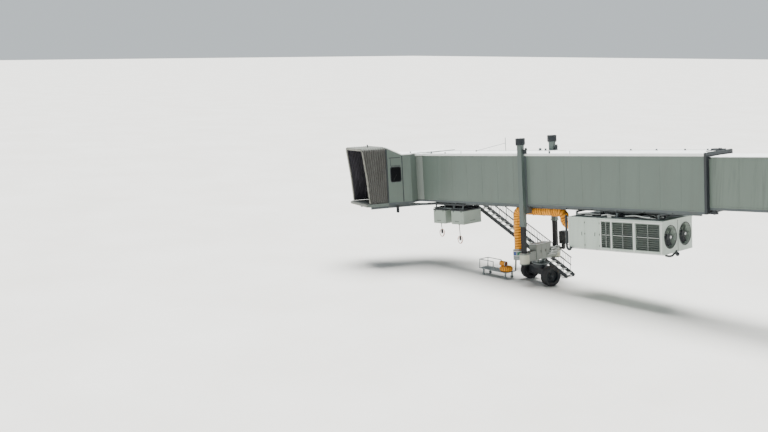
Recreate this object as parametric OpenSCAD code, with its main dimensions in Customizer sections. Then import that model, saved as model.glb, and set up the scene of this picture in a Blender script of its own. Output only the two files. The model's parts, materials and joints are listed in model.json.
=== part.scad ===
// Jet bridge of the apron-drive type: a rotunda on a column, two telescoping tunnels,
// a lift frame on a steered two-wheel bogie, a turning cab with a canopy, a service stair,
// an air-conditioning unit with its ribbed hose, and two hanging cable hoists.
// Millimetres. Origin on the ground at the rotunda column's axis, +Z up, +X to the terminal,
// the tunnels run to -X and the side seen from the terminal's left faces -Y.

/* [Bridge] */
// Slope of the tunnels, down towards the cab, in degrees
tunnel_slope = 4.4; // [3.6:0.2:5]
// Height of the pitch pin above the ground
pin_h = 6070; // [5900:10:6300]
// Distance from the rotunda column's axis to the pitch pin
pin_x = 2300; // [2260:10:2400]
// Length along the tunnels from the pitch pin to the outer tunnel's cab end
reach = 24200; // [23800:50:24600]

/* [Outer tunnel] */
// Length of the outer tunnel
outer_len = 19300; // [18800:50:19600]
// Width of the outer tunnel over its walls
outer_w = 2700; // [2660:10:2800]
// Height of the outer tunnel's walls above its floor
outer_h = 2800; // [2790:10:2900]
// Thickness of the outer tunnel's walls
outer_wall_t = 80; // [50:5:85]
// Thickness of the outer tunnel's floor and roof slabs
slab_t = 120; // [90:5:130]
// Height of the light fascia along the roof's edges
fascia_h = 130; // [125:5:180]
// How far the fascia stands out from the wall
fascia_out = 25; // [10:5:40]

/* [Inner tunnel] */
// Length of the inner tunnel
inner_len = 18300; // [17500:50:18800]
// Width of the inner tunnel over its walls
inner_w = 2300; // [2200:10:2340]
// Height of the inner tunnel's walls
inner_h = 2500; // [2400:10:2500]
// Thickness of the inner tunnel's walls
inner_wall_t = 70; // [40:5:80]
// Depth of the inner tunnel's floor and its side rails
inner_floor_t = 130; // [100:5:135]
// Thickness of the inner tunnel's roof
inner_roof_t = 60; // [40:5:65]
// Running gap between the inner tunnel's rails and the outer tunnel's floor
rail_gap = 80; // [70:5:85]

/* [Lift frame] */
// Distance of the lift columns from the outer tunnel's cab end
column_t = 7950; // [7700:10:8200]
// Length of a column's section along the tunnel
column_a = 300; // [290:5:320]
// Width of a column's section across the tunnel
column_b = 280; // [270:5:300]
// Gap between the tunnel's wall and a column
column_gap = 30; // [28:1:40]
// Wall of a column's outer tube
column_wall = 15; // [12:1:20]
// Running gap round the inner leg in its tube
leg_gap = 10; // [6:1:12]
// Height of a column's top above the fascia
column_rise = 520; // [450:10:600]
// How far a column's outer tube reaches below the tunnel's floor
column_drop = 1300; // [1200:10:1400]
// Diameter of the drive drum on a column
cap_d = 560; // [500:10:600]
// Height of the drive drum on a column
cap_h = 380; // [300:10:420]
// Length of the inner leg that stays inside its tube
leg_nest = 2650; // [2500:10:2800]

/* [Bogie] */
// Tyre diameter
tyre_d = 1200; // [1150:10:1220]
// Tyre width
tyre_w = 420; // [360:10:440]
// Distance between the middles of the tyres
track = 2200; // [2100:10:2240]
// Angle of the axle from the tunnels' direction, in degrees
steer_angle = -20; // [-30:1:0]
// Height of the tilt pin above the ground
tilt_pin_h = 1300; // [1295:5:1340]
// Diameter of the tilt pin
tilt_pin_d = 110; // [90:5:120]

/* [Cab] */
// Distance of the cab's turning axis beyond the outer tunnel's end
cab_axis = 1000; // [980:5:1040]
// Turn of the cab from straight ahead towards the near side, in degrees
cab_turn = 65; // [60:1:70]
// Width of the cab over its walls
cab_w = 3400; // [3360:10:3480]
// Distance from the turning axis to the rear of the canopy
cab_len = 3390; // [3300:10:3500]
// Depth of the canopy at its foot
canopy_len = 1220; // [1000:10:1300]
// How far the canopy's top leans out past its foot
canopy_lean = 350; // [200:10:450]
// Height of the canopy above the cab's floor
canopy_h = 3500; // [3450:10:3600]
// Thickness of the canopy's folded sides
canopy_t = 130; // [90:5:150]
// Height of the cab's low rear part above its floor
cab_rear_h = 2950; // [2930:5:3050]
// Thickness of the cab's walls
cab_wall_t = 60; // [40:5:70]

/* [Rotunda] */
// Radius of the rotunda's floor
rotunda_r = 2050; // [2000:10:2100]
// Height of the rotunda's ceiling above its floor
rotunda_h = 2620; // [2560:10:2700]
// Diameter of the rotunda's column
pedestal_d = 900; // [800:10:1000]
// Diameter of the column's base plate
base_d = 2000; // [1900:10:2200]
// Thickness of the column's base plate
base_t = 60; // [40:5:80]
// Length of the terminal corridor from the rotunda's axis
corridor_len = 3600; // [3300:10:3900]
// Width of the terminal corridor over its walls
corridor_w = 2500; // [2400:10:2560]

/* [Air unit] */
// Distance of the air unit's cab side end from the outer tunnel's cab end
air_t = 11100; // [10900:10:11400]
// Length of the air unit
air_len = 5900; // [5700:10:6000]
// Width of the air unit
air_w = 3000; // [2800:10:3100]
// Height of the air unit
air_h = 1750; // [1650:10:1800]
// Drop of the air unit's top below the tunnel's floor
air_drop = 600; // [550:10:650]
// Diameter of a fan opening
fan_d = 1160; // [1100:10:1200]
// Outer diameter of the ribbed air hose
hose_d = 560; // [500:10:580]

/* [Hoists and stair] */
// Length of a hoist box along the tunnel
hoist_len = 1020; // [950:10:1050]
// Width of a hoist box across the tunnel
hoist_w = 1660; // [1500:10:1700]
// Height of a hoist box
hoist_h = 880; // [800:10:920]
// Width of the stair between its stringers
stair_w = 760; // [700:10:800]
// Slope of the stair against the tunnel's floor, in degrees
stair_angle = 30.4; // [30:0.1:31.2]
// Number of treads on the stair
tread_count = 22; // [20:1:24]
// Diameter of the handrail tubes
rail_d = 42; // [34:2:48]

/* [Hidden] */
$fn = 48;

// Gap left where a piece is seated on another, and all round a pin in its bore
seat = 0.3;
// Routes of the two hoist cables in the tunnels' frame, from the gland down to the plug
cable_front = [[850, -850, -1580], [850, -850, -1645], [854, -847, -1710],
    [862, -841, -1780], [870, -835, -1850], [870, -835, -1900]];
cable_rear = [[2370, -850, -1580], [2370, -850, -1700], [2374, -847, -1830],
    [2382, -841, -1980], [2390, -835, -2130], [2390, -835, -2260]];
fit_gap = 0.08;
pitch_pin_r = 46;

// Heights in the tunnels' own frame, whose zero is the outer tunnel's floor at the pitch pin
inner_bottom = rail_gap;
inner_deck = inner_bottom + inner_floor_t;
inner_top = inner_deck + inner_h;
roof_top = outer_h + slab_t;
outer_y = outer_w / 2;
inner_y = inner_w / 2;
column_y = outer_y + column_gap + column_b / 2;
column_top = outer_h + fascia_h + column_rise;
leg_a = column_a - 2 * column_wall - 2 * leg_gap;
leg_b = column_b - 2 * column_wall - 2 * leg_gap;

// Place of the outer tunnel's cab end and of the tilt pin in the world
cab_end_x = -pin_x - reach * cos(tunnel_slope);
cab_end_z = pin_h - reach * sin(tunnel_slope);
column_floor_z = cab_end_z + column_t * sin(tunnel_slope);
tilt_pin_z = -(column_floor_z - tilt_pin_h) / cos(tunnel_slope);
bogie_x = cab_end_x + column_t * cos(tunnel_slope) - tilt_pin_z * sin(tunnel_slope);

// Height in the tunnels' frame of a level over the ground, at the lift frame
function level(h) = (h - column_floor_z) / cos(tunnel_slope);

// Colours of the object
wall_grey = [0.50, 0.54, 0.50];
pale = [0.78, 0.82, 0.77];
roof_white = [0.90, 0.91, 0.89];
dark = [0.09, 0.11, 0.13];
steel = [0.42, 0.46, 0.45];
navy = [0.07, 0.11, 0.17];
rubber = [0.05, 0.05, 0.06];
hose_yellow = [0.86, 0.60, 0.20];
cloth = [0.33, 0.31, 0.29];

// A box between two corners
module block(lo, hi) {
    translate(lo) cube(hi - lo);
}

// The children and their mirror image across the tunnels' middle plane
module both_sides() {
    children();
    mirror([0, 1, 0]) children();
}

// A tube or bar between two points
module bar(p, q, d, sides = 16) {
    v = q - p;
    translate(p)
        rotate([0, acos(v.z / norm(v)), atan2(v.y, v.x)])
            cylinder(h = norm(v), d = d, $fn = sides);
}

// A board with rounded corners in the XY plane
module rounded(size, r) {
    offset(r = r) offset(delta = -r) square(size);
}

// The tunnels' frame, with its zero at the pitch pin
module in_tunnel() {
    translate([-pin_x, 0, pin_h]) rotate([0, -tunnel_slope, 0]) children();
}

// The outer tunnel's frame, with its zero at the cab end
module in_outer() {
    in_tunnel() translate([-reach, 0, 0]) children();
}

// The cab's frame, with its zero on the turning axis and the canopy towards -X
module in_cab() {
    in_outer() translate([-cab_axis, 0, 0]) rotate([0, 0, cab_turn]) children();
}

// A curved wall about the Z axis, between two angles
module arc_wall(r, t, from, to, z0, z1) {
    rotate([0, 0, from])
        rotate_extrude(angle = to - from, $fn = 192)
            translate([r, z0]) square([t, z1 - z0]);
}

// Rotunda

floor_z = pin_h + inner_deck;
ceiling_z = floor_z + rotunda_h;
rotunda_slab = 120;
rotunda_wall_t = 60;
curtain_r = rotunda_r - 150;
curtain_t = 50;
pedestal_top = floor_z - rotunda_slab;
corridor_y = corridor_w / 2;
corridor_wall_t = 80;
portal_y = inner_y + 90;
portal_post = 120;
portal_x = pin_x - 90;
portal_depth = 130;
ring_h = 220;
ring_z = pin_h - 620;
ring_r = pedestal_d / 2 + 190;
yoke_z = ring_z + ring_h;
anchor_count = 12;
anchor_d = 42;
anchor_r = base_d / 2 - 120;

module base_plate() {
    color(steel) {
        difference() {
            cylinder(h = base_t, d = base_d, $fn = 96);
            for (i = [0 : anchor_count - 1])
                rotate([0, 0, (i + 0.5) * 360 / anchor_count])
                    translate([anchor_r, 0, -1])
                        cylinder(h = base_t + 2, d = anchor_d, $fn = 24);
        }
    }
}

module pedestal() {
    gusset_out = base_d / 2 - 260;
    head_h = 420;
    color(wall_grey) {
        difference() {
            translate([0, 0, base_t + seat])
                cylinder(h = pedestal_top - base_t - 2 * seat, d = pedestal_d, $fn = 96);
            translate([0, 0, base_t + 600])
                cylinder(h = ring_z - base_t - 900, d = pedestal_d - 60, $fn = 96);
        }
        // Cone under the rotunda's floor
        translate([0, 0, pedestal_top - head_h + ring_h])
            cylinder(h = head_h - ring_h - seat, r1 = pedestal_d / 2 - 1, r2 = rotunda_r * 0.62, $fn = 96);
        // Collar that carries the slewing ring
        translate([0, 0, ring_z - 130])
            cylinder(h = 130 - seat, r = ring_r - 40, $fn = 96);
        for (i = [0 : 7])
            rotate([90, 0, i * 45])
                translate([0, 0, -15])
                    linear_extrude(30)
                        polygon([[pedestal_d / 2 - 40, base_t + seat], [gusset_out, base_t + seat], [gusset_out, base_t + 60],
                            [pedestal_d / 2, base_t + 560], [pedestal_d / 2 - 40, base_t + 560]]);
    }
}

module rotunda_floor() {
    color(steel)
        translate([0, 0, floor_z - rotunda_slab])
            linear_extrude(rotunda_slab)
                union() {
                    circle(r = rotunda_r, $fn = 96);
                    translate([0, -corridor_y]) square([corridor_len, corridor_w]);
                }
}

module rotunda_roof() {
    eave = 60;
    color(roof_white) {
        translate([0, 0, ceiling_z])
            linear_extrude(rotunda_slab)
                union() {
                    circle(r = rotunda_r + eave, $fn = 96);
                    translate([0, -corridor_y - 20]) square([corridor_len, corridor_w + 40]);
                }
        translate([0, 0, ceiling_z + rotunda_slab])
            cylinder(h = 170, r1 = rotunda_r + eave - 40, r2 = 350, $fn = 96);
    }
}

// One fixed side of the rotunda: a curved wall with two posts, and the corridor's wall
module fixed_wall() {
    outer_r = rotunda_r - 10;
    from = asin((corridor_y - corridor_wall_t / 2) / outer_r);
    to = 101;
    color(wall_grey) {
        arc_wall(outer_r - rotunda_wall_t, rotunda_wall_t, from, to, floor_z + seat, ceiling_z - seat);
        // Post at the free end, a little short of the ceiling
        arc_wall(outer_r - rotunda_wall_t - 10, rotunda_wall_t + 25, to - 2.4, to + 0.4, floor_z + 6, ceiling_z - 6);
        block([sqrt(pow(outer_r, 2) - pow(corridor_y - corridor_wall_t, 2)) - 90,
               corridor_y - corridor_wall_t, floor_z + 6], [corridor_len, corridor_y, ceiling_z - 6]);
    }
}

module rotunda_wall_far() { fixed_wall(); }
module rotunda_wall_near() { mirror([0, 1, 0]) fixed_wall(); }

module swing_yoke() {
    arm_y = 760;
    arm_w = 220;
    ear_t = 60;
    color(steel) {
        // Slewing ring round the column
        translate([0, 0, ring_z])
            difference() {
                cylinder(h = ring_h, r = ring_r, $fn = 96);
                translate([0, 0, -1])
                    cylinder(h = ring_h + 2, r = pedestal_d / 2 + fit_gap, $fn = 96);
            }
        both_sides() {
            difference() {
                block([-portal_x, arm_y - arm_w, ring_z], [-200, arm_y, yoke_z]);
                translate([0, 0, ring_z - 1])
                    cylinder(h = ring_h + 2, r = ring_r - 20, $fn = 96);
            }
            // Ears that hold the pitch pin
            for (y = [arm_y - 205, arm_y - 65])
                difference() {
                    union() {
                        block([-pin_x - 100, y, yoke_z - 5], [-pin_x + 100, y + ear_t, pin_h]);
                        translate([-pin_x, y, pin_h]) rotate([-90, 0, 0])
                            cylinder(h = ear_t, r = 100);
                    }
                    translate([-pin_x, y - 1, pin_h]) rotate([-90, 0, 0])
                        cylinder(h = ear_t + 2, r = pitch_pin_r + fit_gap);
                }
        }
        // Cross beam under the portal
        block([-portal_x - 200, -portal_y - portal_post, ring_z],
              [-portal_x + portal_depth, portal_y + portal_post, yoke_z]);
    }
}

module swing_portal() {
    hood_len = 760;
    hood_t = 40;
    hood_y = portal_y;
    hood_top = pin_h + inner_top + 260;
    header_z = floor_z + 2260;
    x0 = -portal_x;
    x1 = x0 + portal_depth;
    color(wall_grey) {
        both_sides() {
            block([x0, portal_y, yoke_z + seat], [x1, portal_y + portal_post, ceiling_z - 20]);
            // Side of the hood over the tunnel's end
            block([x0 - hood_len, hood_y, pin_h + 120], [x0 + 1, hood_y + hood_t, hood_top]);
            block([x0, hood_y, ceiling_z - 40], [x0 + 60, hood_y + hood_t, hood_top]);
        }
        block([x0, -portal_y - 1, header_z], [x1, portal_y + 1, ceiling_z - 20]);
        block([x0 - hood_len, -hood_y - hood_t, hood_top], [x0 + 60, hood_y + hood_t, hood_top + hood_t]);
        block([x0, -hood_y, ceiling_z - 21], [x0 + 60, hood_y, hood_top + 1]);
        // Sill with a round edge against the rotunda's floor
        difference() {
            block([x0, -portal_y - 1, floor_z - rotunda_slab], [-1400, portal_y + 1, floor_z]);
            translate([0, 0, floor_z - rotunda_slab - 1])
                cylinder(h = rotunda_slab + 2, r = rotunda_r + 10, $fn = 192);
        }
    }
}

// Slatted curtain beside the portal, hung on the portal's post
module slat_curtain() {
    from = 180 - 36.5 - 77;
    to = 180 - 36.5;
    post_face = -portal_x + portal_depth + seat;
    color(pale) {
        arc_wall(curtain_r, curtain_t, from, to, floor_z + 20, ceiling_z - 20);
        // Flat panel that joins the curtain to the portal's post
        translate([0, 0, floor_z + 30])
            linear_extrude(ceiling_z - floor_z - 60)
                polygon([(curtain_r + 8) * [cos(to - 1), sin(to - 1)], [post_face, portal_y + 30],
                    [post_face, portal_y + 90], (curtain_r + curtain_t - 8) * [cos(to - 1), sin(to - 1)]]);
    }
}

module slat_curtain_far() { slat_curtain(); }
module slat_curtain_near() { mirror([0, 1, 0]) slat_curtain(); }

// Inner tunnel

inner_end = -450;
inner_start = inner_end - inner_len;

module inner_floor() {
    lug_y = 630;
    lug_t = 60;
    rail_w = 150;
    ramp = 900;
    in_tunnel() color(dark) {
        block([inner_start, -inner_y, inner_bottom + 40], [70, inner_y, inner_deck]);
        both_sides() {
            block([inner_start, inner_y - rail_w, inner_bottom], [inner_end, inner_y, inner_deck]);
            // Lug on the pitch pin
            difference() {
                union() {
                    block([-900, lug_y, inner_bottom - 90], [-110, lug_y + lug_t, inner_deck - 1]);
                    block([-900, lug_y, -60], [0, lug_y + lug_t, inner_bottom + 60]);
                    translate([0, lug_y, 0]) rotate([-90, 0, 0]) cylinder(h = lug_t, r = 90);
                }
                translate([0, lug_y - 1, 0]) rotate([-90, 0, 0]) cylinder(h = lug_t + 2, r = pitch_pin_r - 1);
            }
            translate([0, lug_y - 80, 0]) rotate([-90, 0, 0]) cylinder(h = lug_t + 150, r = pitch_pin_r);
        }
        // Ramp down to the outer tunnel's floor
        rotate([90, 0, 0])
            translate([0, 0, -(inner_y - 60)])
                linear_extrude(inner_w - 120)
                    polygon([[inner_start + 1, inner_deck], [inner_start + 1, inner_deck - 60],
                        [inner_start - ramp, 8], [inner_start - ramp, 18]]);
    }
}

module inner_roof() {
    in_tunnel() color(roof_white)
        rotate([90, 0, -90])
            translate([0, 0, -inner_end])
                linear_extrude(inner_len)
                    polygon([[-inner_y, inner_top], [inner_y, inner_top],
                        [inner_y, inner_top + inner_roof_t - 10], [0, inner_top + inner_roof_t],
                        [-inner_y, inner_top + inner_roof_t - 10]]);
}

module inner_wall() {
    in_tunnel() color(wall_grey)
        block([inner_start, inner_y - inner_wall_t, inner_deck], [inner_end, inner_y, inner_top]);
}

module inner_wall_far() { inner_wall(); }
module inner_wall_near() { mirror([0, 1, 0]) inner_wall(); }

// Outer tunnel

beam_h = 140;
rib_h = 60;
crown = 45;
under_z = -slab_t - beam_h - seat;

// Half the length of the plates that carry a lift column
saddle_half = 260;

module outer_floor() {
    beam_y = 870;
    beam_w = 120;
    in_outer() color(dark) {
        block([0, -outer_y, -slab_t], [outer_len, outer_y, 0]);
        both_sides()
            block([700, beam_y, -slab_t - beam_h], [outer_len - 400, beam_y + beam_w, -slab_t]);
        for (t = [800 : 1650 : outer_len - 1500])
            if (t + 110 < column_t - saddle_half || t > column_t + saddle_half + 20)
                block([t, -outer_y + 90, -slab_t - rib_h], [t + 90, outer_y - 90, -slab_t + 1]);
    }
}

module outer_roof() {
    in_outer() color(roof_white) {
        translate([outer_len, 0, 0])
            rotate([90, 0, -90])
                linear_extrude(outer_len)
                    polygon([[-outer_y, outer_h], [outer_y, outer_h], [outer_y, roof_top - 5],
                        [0, roof_top + crown], [-outer_y, roof_top - 5]]);
        both_sides()
            block([0, outer_y - 1, outer_h],
                  [outer_len, outer_y + fascia_out, outer_h + fascia_h]);
    }
}

door_t0 = 150;
door_w = 880;
door_h = 2080;

module outer_wall_near() {
    in_outer() color(wall_grey) mirror([0, 1, 0])
        block([0, outer_y - outer_wall_t, 0], [outer_len, outer_y, outer_h]);
}

module outer_wall_far() {
    in_outer() color(wall_grey)
        difference() {
            block([0, outer_y - outer_wall_t, 0], [outer_len, outer_y, outer_h]);
            block([door_t0, outer_y - outer_wall_t - 1, -1],
                  [door_t0 + door_w, outer_y + 1, door_h]);
        }
}

module service_door() {
    gap = 4;
    leaf_t = 45;
    in_outer() color(pale) {
        difference() {
            block([door_t0 + gap, outer_y - leaf_t - 5, gap],
                  [door_t0 + door_w - gap, outer_y - 5, door_h - gap]);
            block([door_t0 + 220, outer_y - leaf_t - 6, 1250],
                  [door_t0 + door_w - 220, outer_y - 4, 1850]);
        }
        // Handle
        translate([door_t0 + door_w - 110, outer_y - 6, 1040]) rotate([-90, 0, 0])
            cylinder(h = 50, d = 26);
        block([door_t0 + door_w - 230, outer_y + 34, 1028], [door_t0 + door_w - 100, outer_y + 50, 1052]);
        // Hinge knuckles that carry the leaf on the wall
        for (z = [260, 1780])
            block([door_t0 - 60, outer_y + seat, z], [door_t0 + 70, outer_y + 16, z + 120]);
        for (z = [260, 1780])
            block([door_t0 + 10, outer_y - 6, z], [door_t0 + 70, outer_y + 10, z + 120]);
    }
}

mouth_t = outer_len;

module mouth_frame() {
    depth = 130;
    side = 100;
    inner_face = inner_y + 55;
    bracket_len = 560;
    in_outer() color(dark) {
        both_sides() {
            block([mouth_t, inner_face, -slab_t], [mouth_t + depth, outer_y + 40, roof_top + 50]);
            // Roller bracket under the inner tunnel's rail
            block([mouth_t + 1, inner_y - 130, -slab_t], [mouth_t + bracket_len, inner_y + 20, -20]);
            translate([mouth_t + bracket_len - 170, inner_y - 130, -35]) rotate([-90, 0, 0])
                cylinder(h = 130, r = rail_gap + 35 - 5);
            // Guide roller at the top corner
            block([mouth_t + 1, inner_y + 6, inner_top - 60], [mouth_t + 260, inner_y + 60, inner_top + 40]);
        }
        block([mouth_t, -outer_y - 40, inner_top + inner_roof_t + 25],
              [mouth_t + depth, outer_y + 40, roof_top + 50]);
        block([mouth_t, -outer_y, -slab_t], [mouth_t + depth, outer_y, -10]);
    }
}

// Height of the outer roof's skin at a distance across the tunnel
function roof_z(y) = roof_top - 5 + (crown + 5) * (1 - abs(y) / outer_y) + seat;

// Small things on the roof: a cross bar, thin posts and a brace
module roof_fittings() {
    post_y = outer_y - 80;
    in_outer() color(steel) {
        block([280, -outer_y + 40, roof_z(0)], [340, outer_y - 40, roof_z(0) + 50]);
        for (t = [3150, 11200])
            translate([t, -post_y, roof_z(post_y - 25)]) cylinder(h = 160, d = 45, $fn = 16);
        translate([4600, post_y, roof_z(post_y - 25)]) cylinder(h = 820, d = 40, $fn = 16);
        translate([3300, 0, roof_z(0)]) cylinder(h = 80, d = 90, $fn = 16);
        bar([3300, 0, roof_z(0) + 40], [4600, post_y, roof_z(0) + 430], 30, 12);
    }
}

// Lift frame: fixed tubes on the outer tunnel

module at_column() {
    translate([column_t, column_y, 0]) children();
}

module lift_columns() {
    in_outer() color(wall_grey)
        both_sides() at_column()
            difference() {
                union() {
                    block([-column_a / 2, -column_b / 2, -column_drop],
                          [column_a / 2, column_b / 2, column_top]);
                    // Collar at the foot of the tube
                    block([-column_a / 2 - 18, -column_b / 2 - 18, -column_drop],
                          [column_a / 2 + 18, column_b / 2 + 18, -column_drop + 90]);
                }
                block([-leg_a / 2 - leg_gap, -leg_b / 2 - leg_gap, -column_drop - 1],
                      [leg_a / 2 + leg_gap, leg_b / 2 + leg_gap, column_top - 60]);
            }
}

module column_drums() {
    round_r = 30;
    in_outer() color(navy)
        both_sides() at_column()
            translate([0, 0, column_top + seat])
                rotate_extrude($fn = 64)
                    union() {
                        square([cap_d / 2 - round_r, cap_h]);
                        translate([0, round_r]) square([cap_d / 2, cap_h - 2 * round_r]);
                        translate([cap_d / 2 - round_r, round_r]) circle(r = round_r, $fn = 24);
                        translate([cap_d / 2 - round_r, cap_h - round_r]) circle(r = round_r, $fn = 24);
                    }
}

module column_saddle() {
    half = saddle_half;
    depth = 440;
    in_outer() color(dark) {
        block([column_t - half, -outer_y + 485, -slab_t - rib_h - 5], [column_t + half, outer_y - 485, -slab_t - seat]);
        both_sides() {
            // Bracket under the floor's edge, and the plate that ties the column to the wall
            block([column_t - half, outer_y - 355, -slab_t - depth], [column_t + half, outer_y + column_gap - seat, -slab_t - seat]);
            block([column_t - half, outer_y + seat, -slab_t - 1], [column_t + half, outer_y + column_gap - seat, outer_h - 10]);
        }
    }
}

// Stair landing on the far side

landing_t0 = -650;
landing_t1 = 270;
strip_t1 = 1100;
strip_y1 = outer_y + 550;
stair_y0 = outer_y + 590;
stair_y1 = stair_y0 + stair_w;
landing_y0 = outer_y + 240;
strip_y0 = outer_y + 65;
landing_y1 = stair_y1 + 40;
stair_hinge = [400, -95];
hinge_pin_r = 30;

module stair_landing() {
    post_h = 1050;
    joist_z = [-160, -59];
    in_outer() color(steel) {
        block([landing_t0, landing_y0, -60], [landing_t1, landing_y1, -20]);
        block([20, strip_y0, -60], [strip_t1, strip_y1, -20]);
        block([landing_t0, landing_y0, joist_z[0]], [strip_t1, landing_y0 + 60, joist_z[1]]);
        block([landing_t0, landing_y1 - 60, joist_z[0]], [landing_t1, landing_y1, joist_z[1]]);
        block([150, outer_y + seat, joist_z[0]], [210, landing_y1, joist_z[1]]);
        block([strip_t1 - 100, outer_y + seat, joist_z[0]], [strip_t1 - 40, strip_y1, joist_z[1]]);
        // Lugs that hold the stair's hinge pin
        for (y = [stair_y0 - 35, stair_y1 + 5])
            difference() {
                union() {
                    block([209, y, joist_z[0]], [stair_hinge.x, y + 30, stair_hinge.y + 65]);
                    translate([stair_hinge.x, y, stair_hinge.y]) rotate([-90, 0, 0]) cylinder(h = 30, r = 65);
                }
                translate([stair_hinge.x, y - 1, stair_hinge.y]) rotate([-90, 0, 0])
                    cylinder(h = 32, r = hinge_pin_r + fit_gap);
            }
        // Rails round the landing
        for (p = [[landing_t0 + 30, outer_y + 400], [landing_t0 + 30, landing_y1 - 30], [landing_t1 - 30, landing_y1 - 30],
                  [strip_t1 - 30, strip_y0 + 30], [strip_t1 - 30, strip_y1 - 30], [landing_t1 + 80, strip_y1 - 30]])
            translate([p.x, p.y, -21]) cylinder(h = post_h, d = rail_d, $fn = 16);
        for (h = [post_h - 21, post_h * 0.55]) {
            bar([landing_t0 + 30, outer_y + 400, h], [landing_t0 + 30, landing_y1 - 30, h], rail_d);
            bar([landing_t0 + 30, landing_y1 - 30, h], [landing_t1 - 30, landing_y1 - 30, h], rail_d);
            bar([strip_t1 - 30, strip_y0 + 30, h], [strip_t1 - 30, strip_y1 - 30, h], rail_d);
            bar([landing_t1 + 80, strip_y1 - 30, h], [strip_t1 - 30, strip_y1 - 30, h], rail_d);
        }
    }
}

// Round joint between the outer tunnel and the cab

drum_r = 1550;
cab_shell_r = 1565;
shell_t = 35;
tunnel_shell_r = cab_shell_r + shell_t + 20;
drum_roof_r = tunnel_shell_r + shell_t + 60;
ring_t = 140;

// The part of a disc about the cab's axis that lies beyond the tunnel's end
module drum_disc(r, z0, z1) {
    intersection() {
        translate([-cab_axis, 0, z0]) cylinder(h = z1 - z0, r = r, $fn = 96);
        block([-cab_axis - r - 1, -r, z0 - 1], [-seat, r, z1 + 1]);
    }
}

module drum_floor() {
    in_outer() color(dark) {
        drum_disc(drum_r, -slab_t, 0);
        // Arms below the tunnel's floor that carry the disc
        both_sides()
            block([-cab_axis - 500, 380, -slab_t - 120], [780, 520, -slab_t - seat]);
        block([-cab_axis - 500, -380, -slab_t - 120], [-cab_axis + 100, 380, -slab_t]);
        both_sides()
            block([-cab_axis - 500, 380, -slab_t - 120], [-cab_axis, 520, -slab_t + 1]);
    }
}

module drum_roof() {
    in_outer() color(roof_white)
        drum_disc(drum_roof_r, outer_h + 20, roof_top + 10);
}

// Curved far wall that belongs to the tunnel, with the post at the tunnel's corner
module drum_shell() {
    corner = atan2(outer_y, cab_axis);
    in_outer() color(wall_grey) {
        translate([-cab_axis, 0, 0])
            arc_wall(tunnel_shell_r, shell_t, corner + 1, corner + 81, 10, outer_h + 14);
        block([-62, outer_y - 36, seat], [-seat, outer_y, outer_h + 20 - seat]);
        block([-62, -outer_y, seat], [-seat, -outer_y + 25, outer_h + 20 - seat]);
    }
}

// Cab

cab_y = cab_w / 2;
cab_rear = 1750;
seam_d = 2330;
post_angle = 45;
cab_floor_cut = drum_r + 12;
cab_front = cab_len + canopy_len;

module cab_floor() {
    lip = 90;
    in_cab() color(dark) {
        difference() {
            translate([0, 0, -slab_t])
                linear_extrude(slab_t)
                    polygon([[-1000, -1000], [-cab_rear, -cab_y], [-cab_front, -cab_y - 40], [-cab_front, cab_y + 40],
                        [-cab_rear, cab_y], [-1000, 1000]]);
            translate([0, 0, -slab_t - 1]) cylinder(h = slab_t + 2, r = cab_floor_cut, $fn = 96);
        }
        // Bumper along the front edge
        block([-cab_front - lip, -cab_y - 40, -160], [-cab_front - seat, cab_y + 40, 20]);
        // Turning ring below the round floor
        difference() {
            translate([0, 0, -slab_t - 125 - ring_t]) cylinder(h = ring_t, r = 1500, $fn = 96);
            translate([0, 0, -slab_t - 126 - ring_t]) cylinder(h = ring_t + 2, r = 1300, $fn = 96);
        }
        // Beams from the ring to the floor
        both_sides() {
            block([-cab_front + 300, 1000, -slab_t - 125 - ring_t], [-900, 1140, -slab_t - 126]);
            block([-cab_front + 300, 1000, -slab_t - 127], [-cab_rear - 40, 1140, -slab_t + 1]);
        }
    }
}

module cab_roof() {
    in_cab() color(roof_white)
            union() {
                rotate([90, 0, 0])
                    translate([0, 0, -cab_y])
                        linear_extrude(cab_w)
                            polygon([[-cab_rear, cab_rear_h], [-seam_d, cab_rear_h], [-cab_len + 60, canopy_h - 60],
                                [-cab_len, canopy_h - 60], [-cab_len, canopy_h], [-cab_len + 40, canopy_h],
                                [-seam_d + 20, cab_rear_h + 60], [-cab_rear, cab_rear_h + 60]]);
                translate([0, 0, cab_rear_h])
                    linear_extrude(60)
                        union() {
                            polygon([[-700, -700], [-cab_rear - 1, -cab_y], [-cab_rear - 1, cab_y], [-700, 700]]);
                            circle(r = 985, $fn = 96);
                        }
            }
}

// Outline of a cab side wall seen from the side, X towards the front negative
module cab_side_outline() {
    polygon([[-cab_rear, 0], [-cab_len, 0], [-cab_len, canopy_h - 62], [-cab_len + 62, canopy_h - 62],
        [-seam_d + 1, cab_rear_h - 1], [-cab_rear, cab_rear_h - 1]]);
}

window_x0 = -3100;
window_w = 640;
window_z0 = 1330;
window_h = 880;

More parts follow.
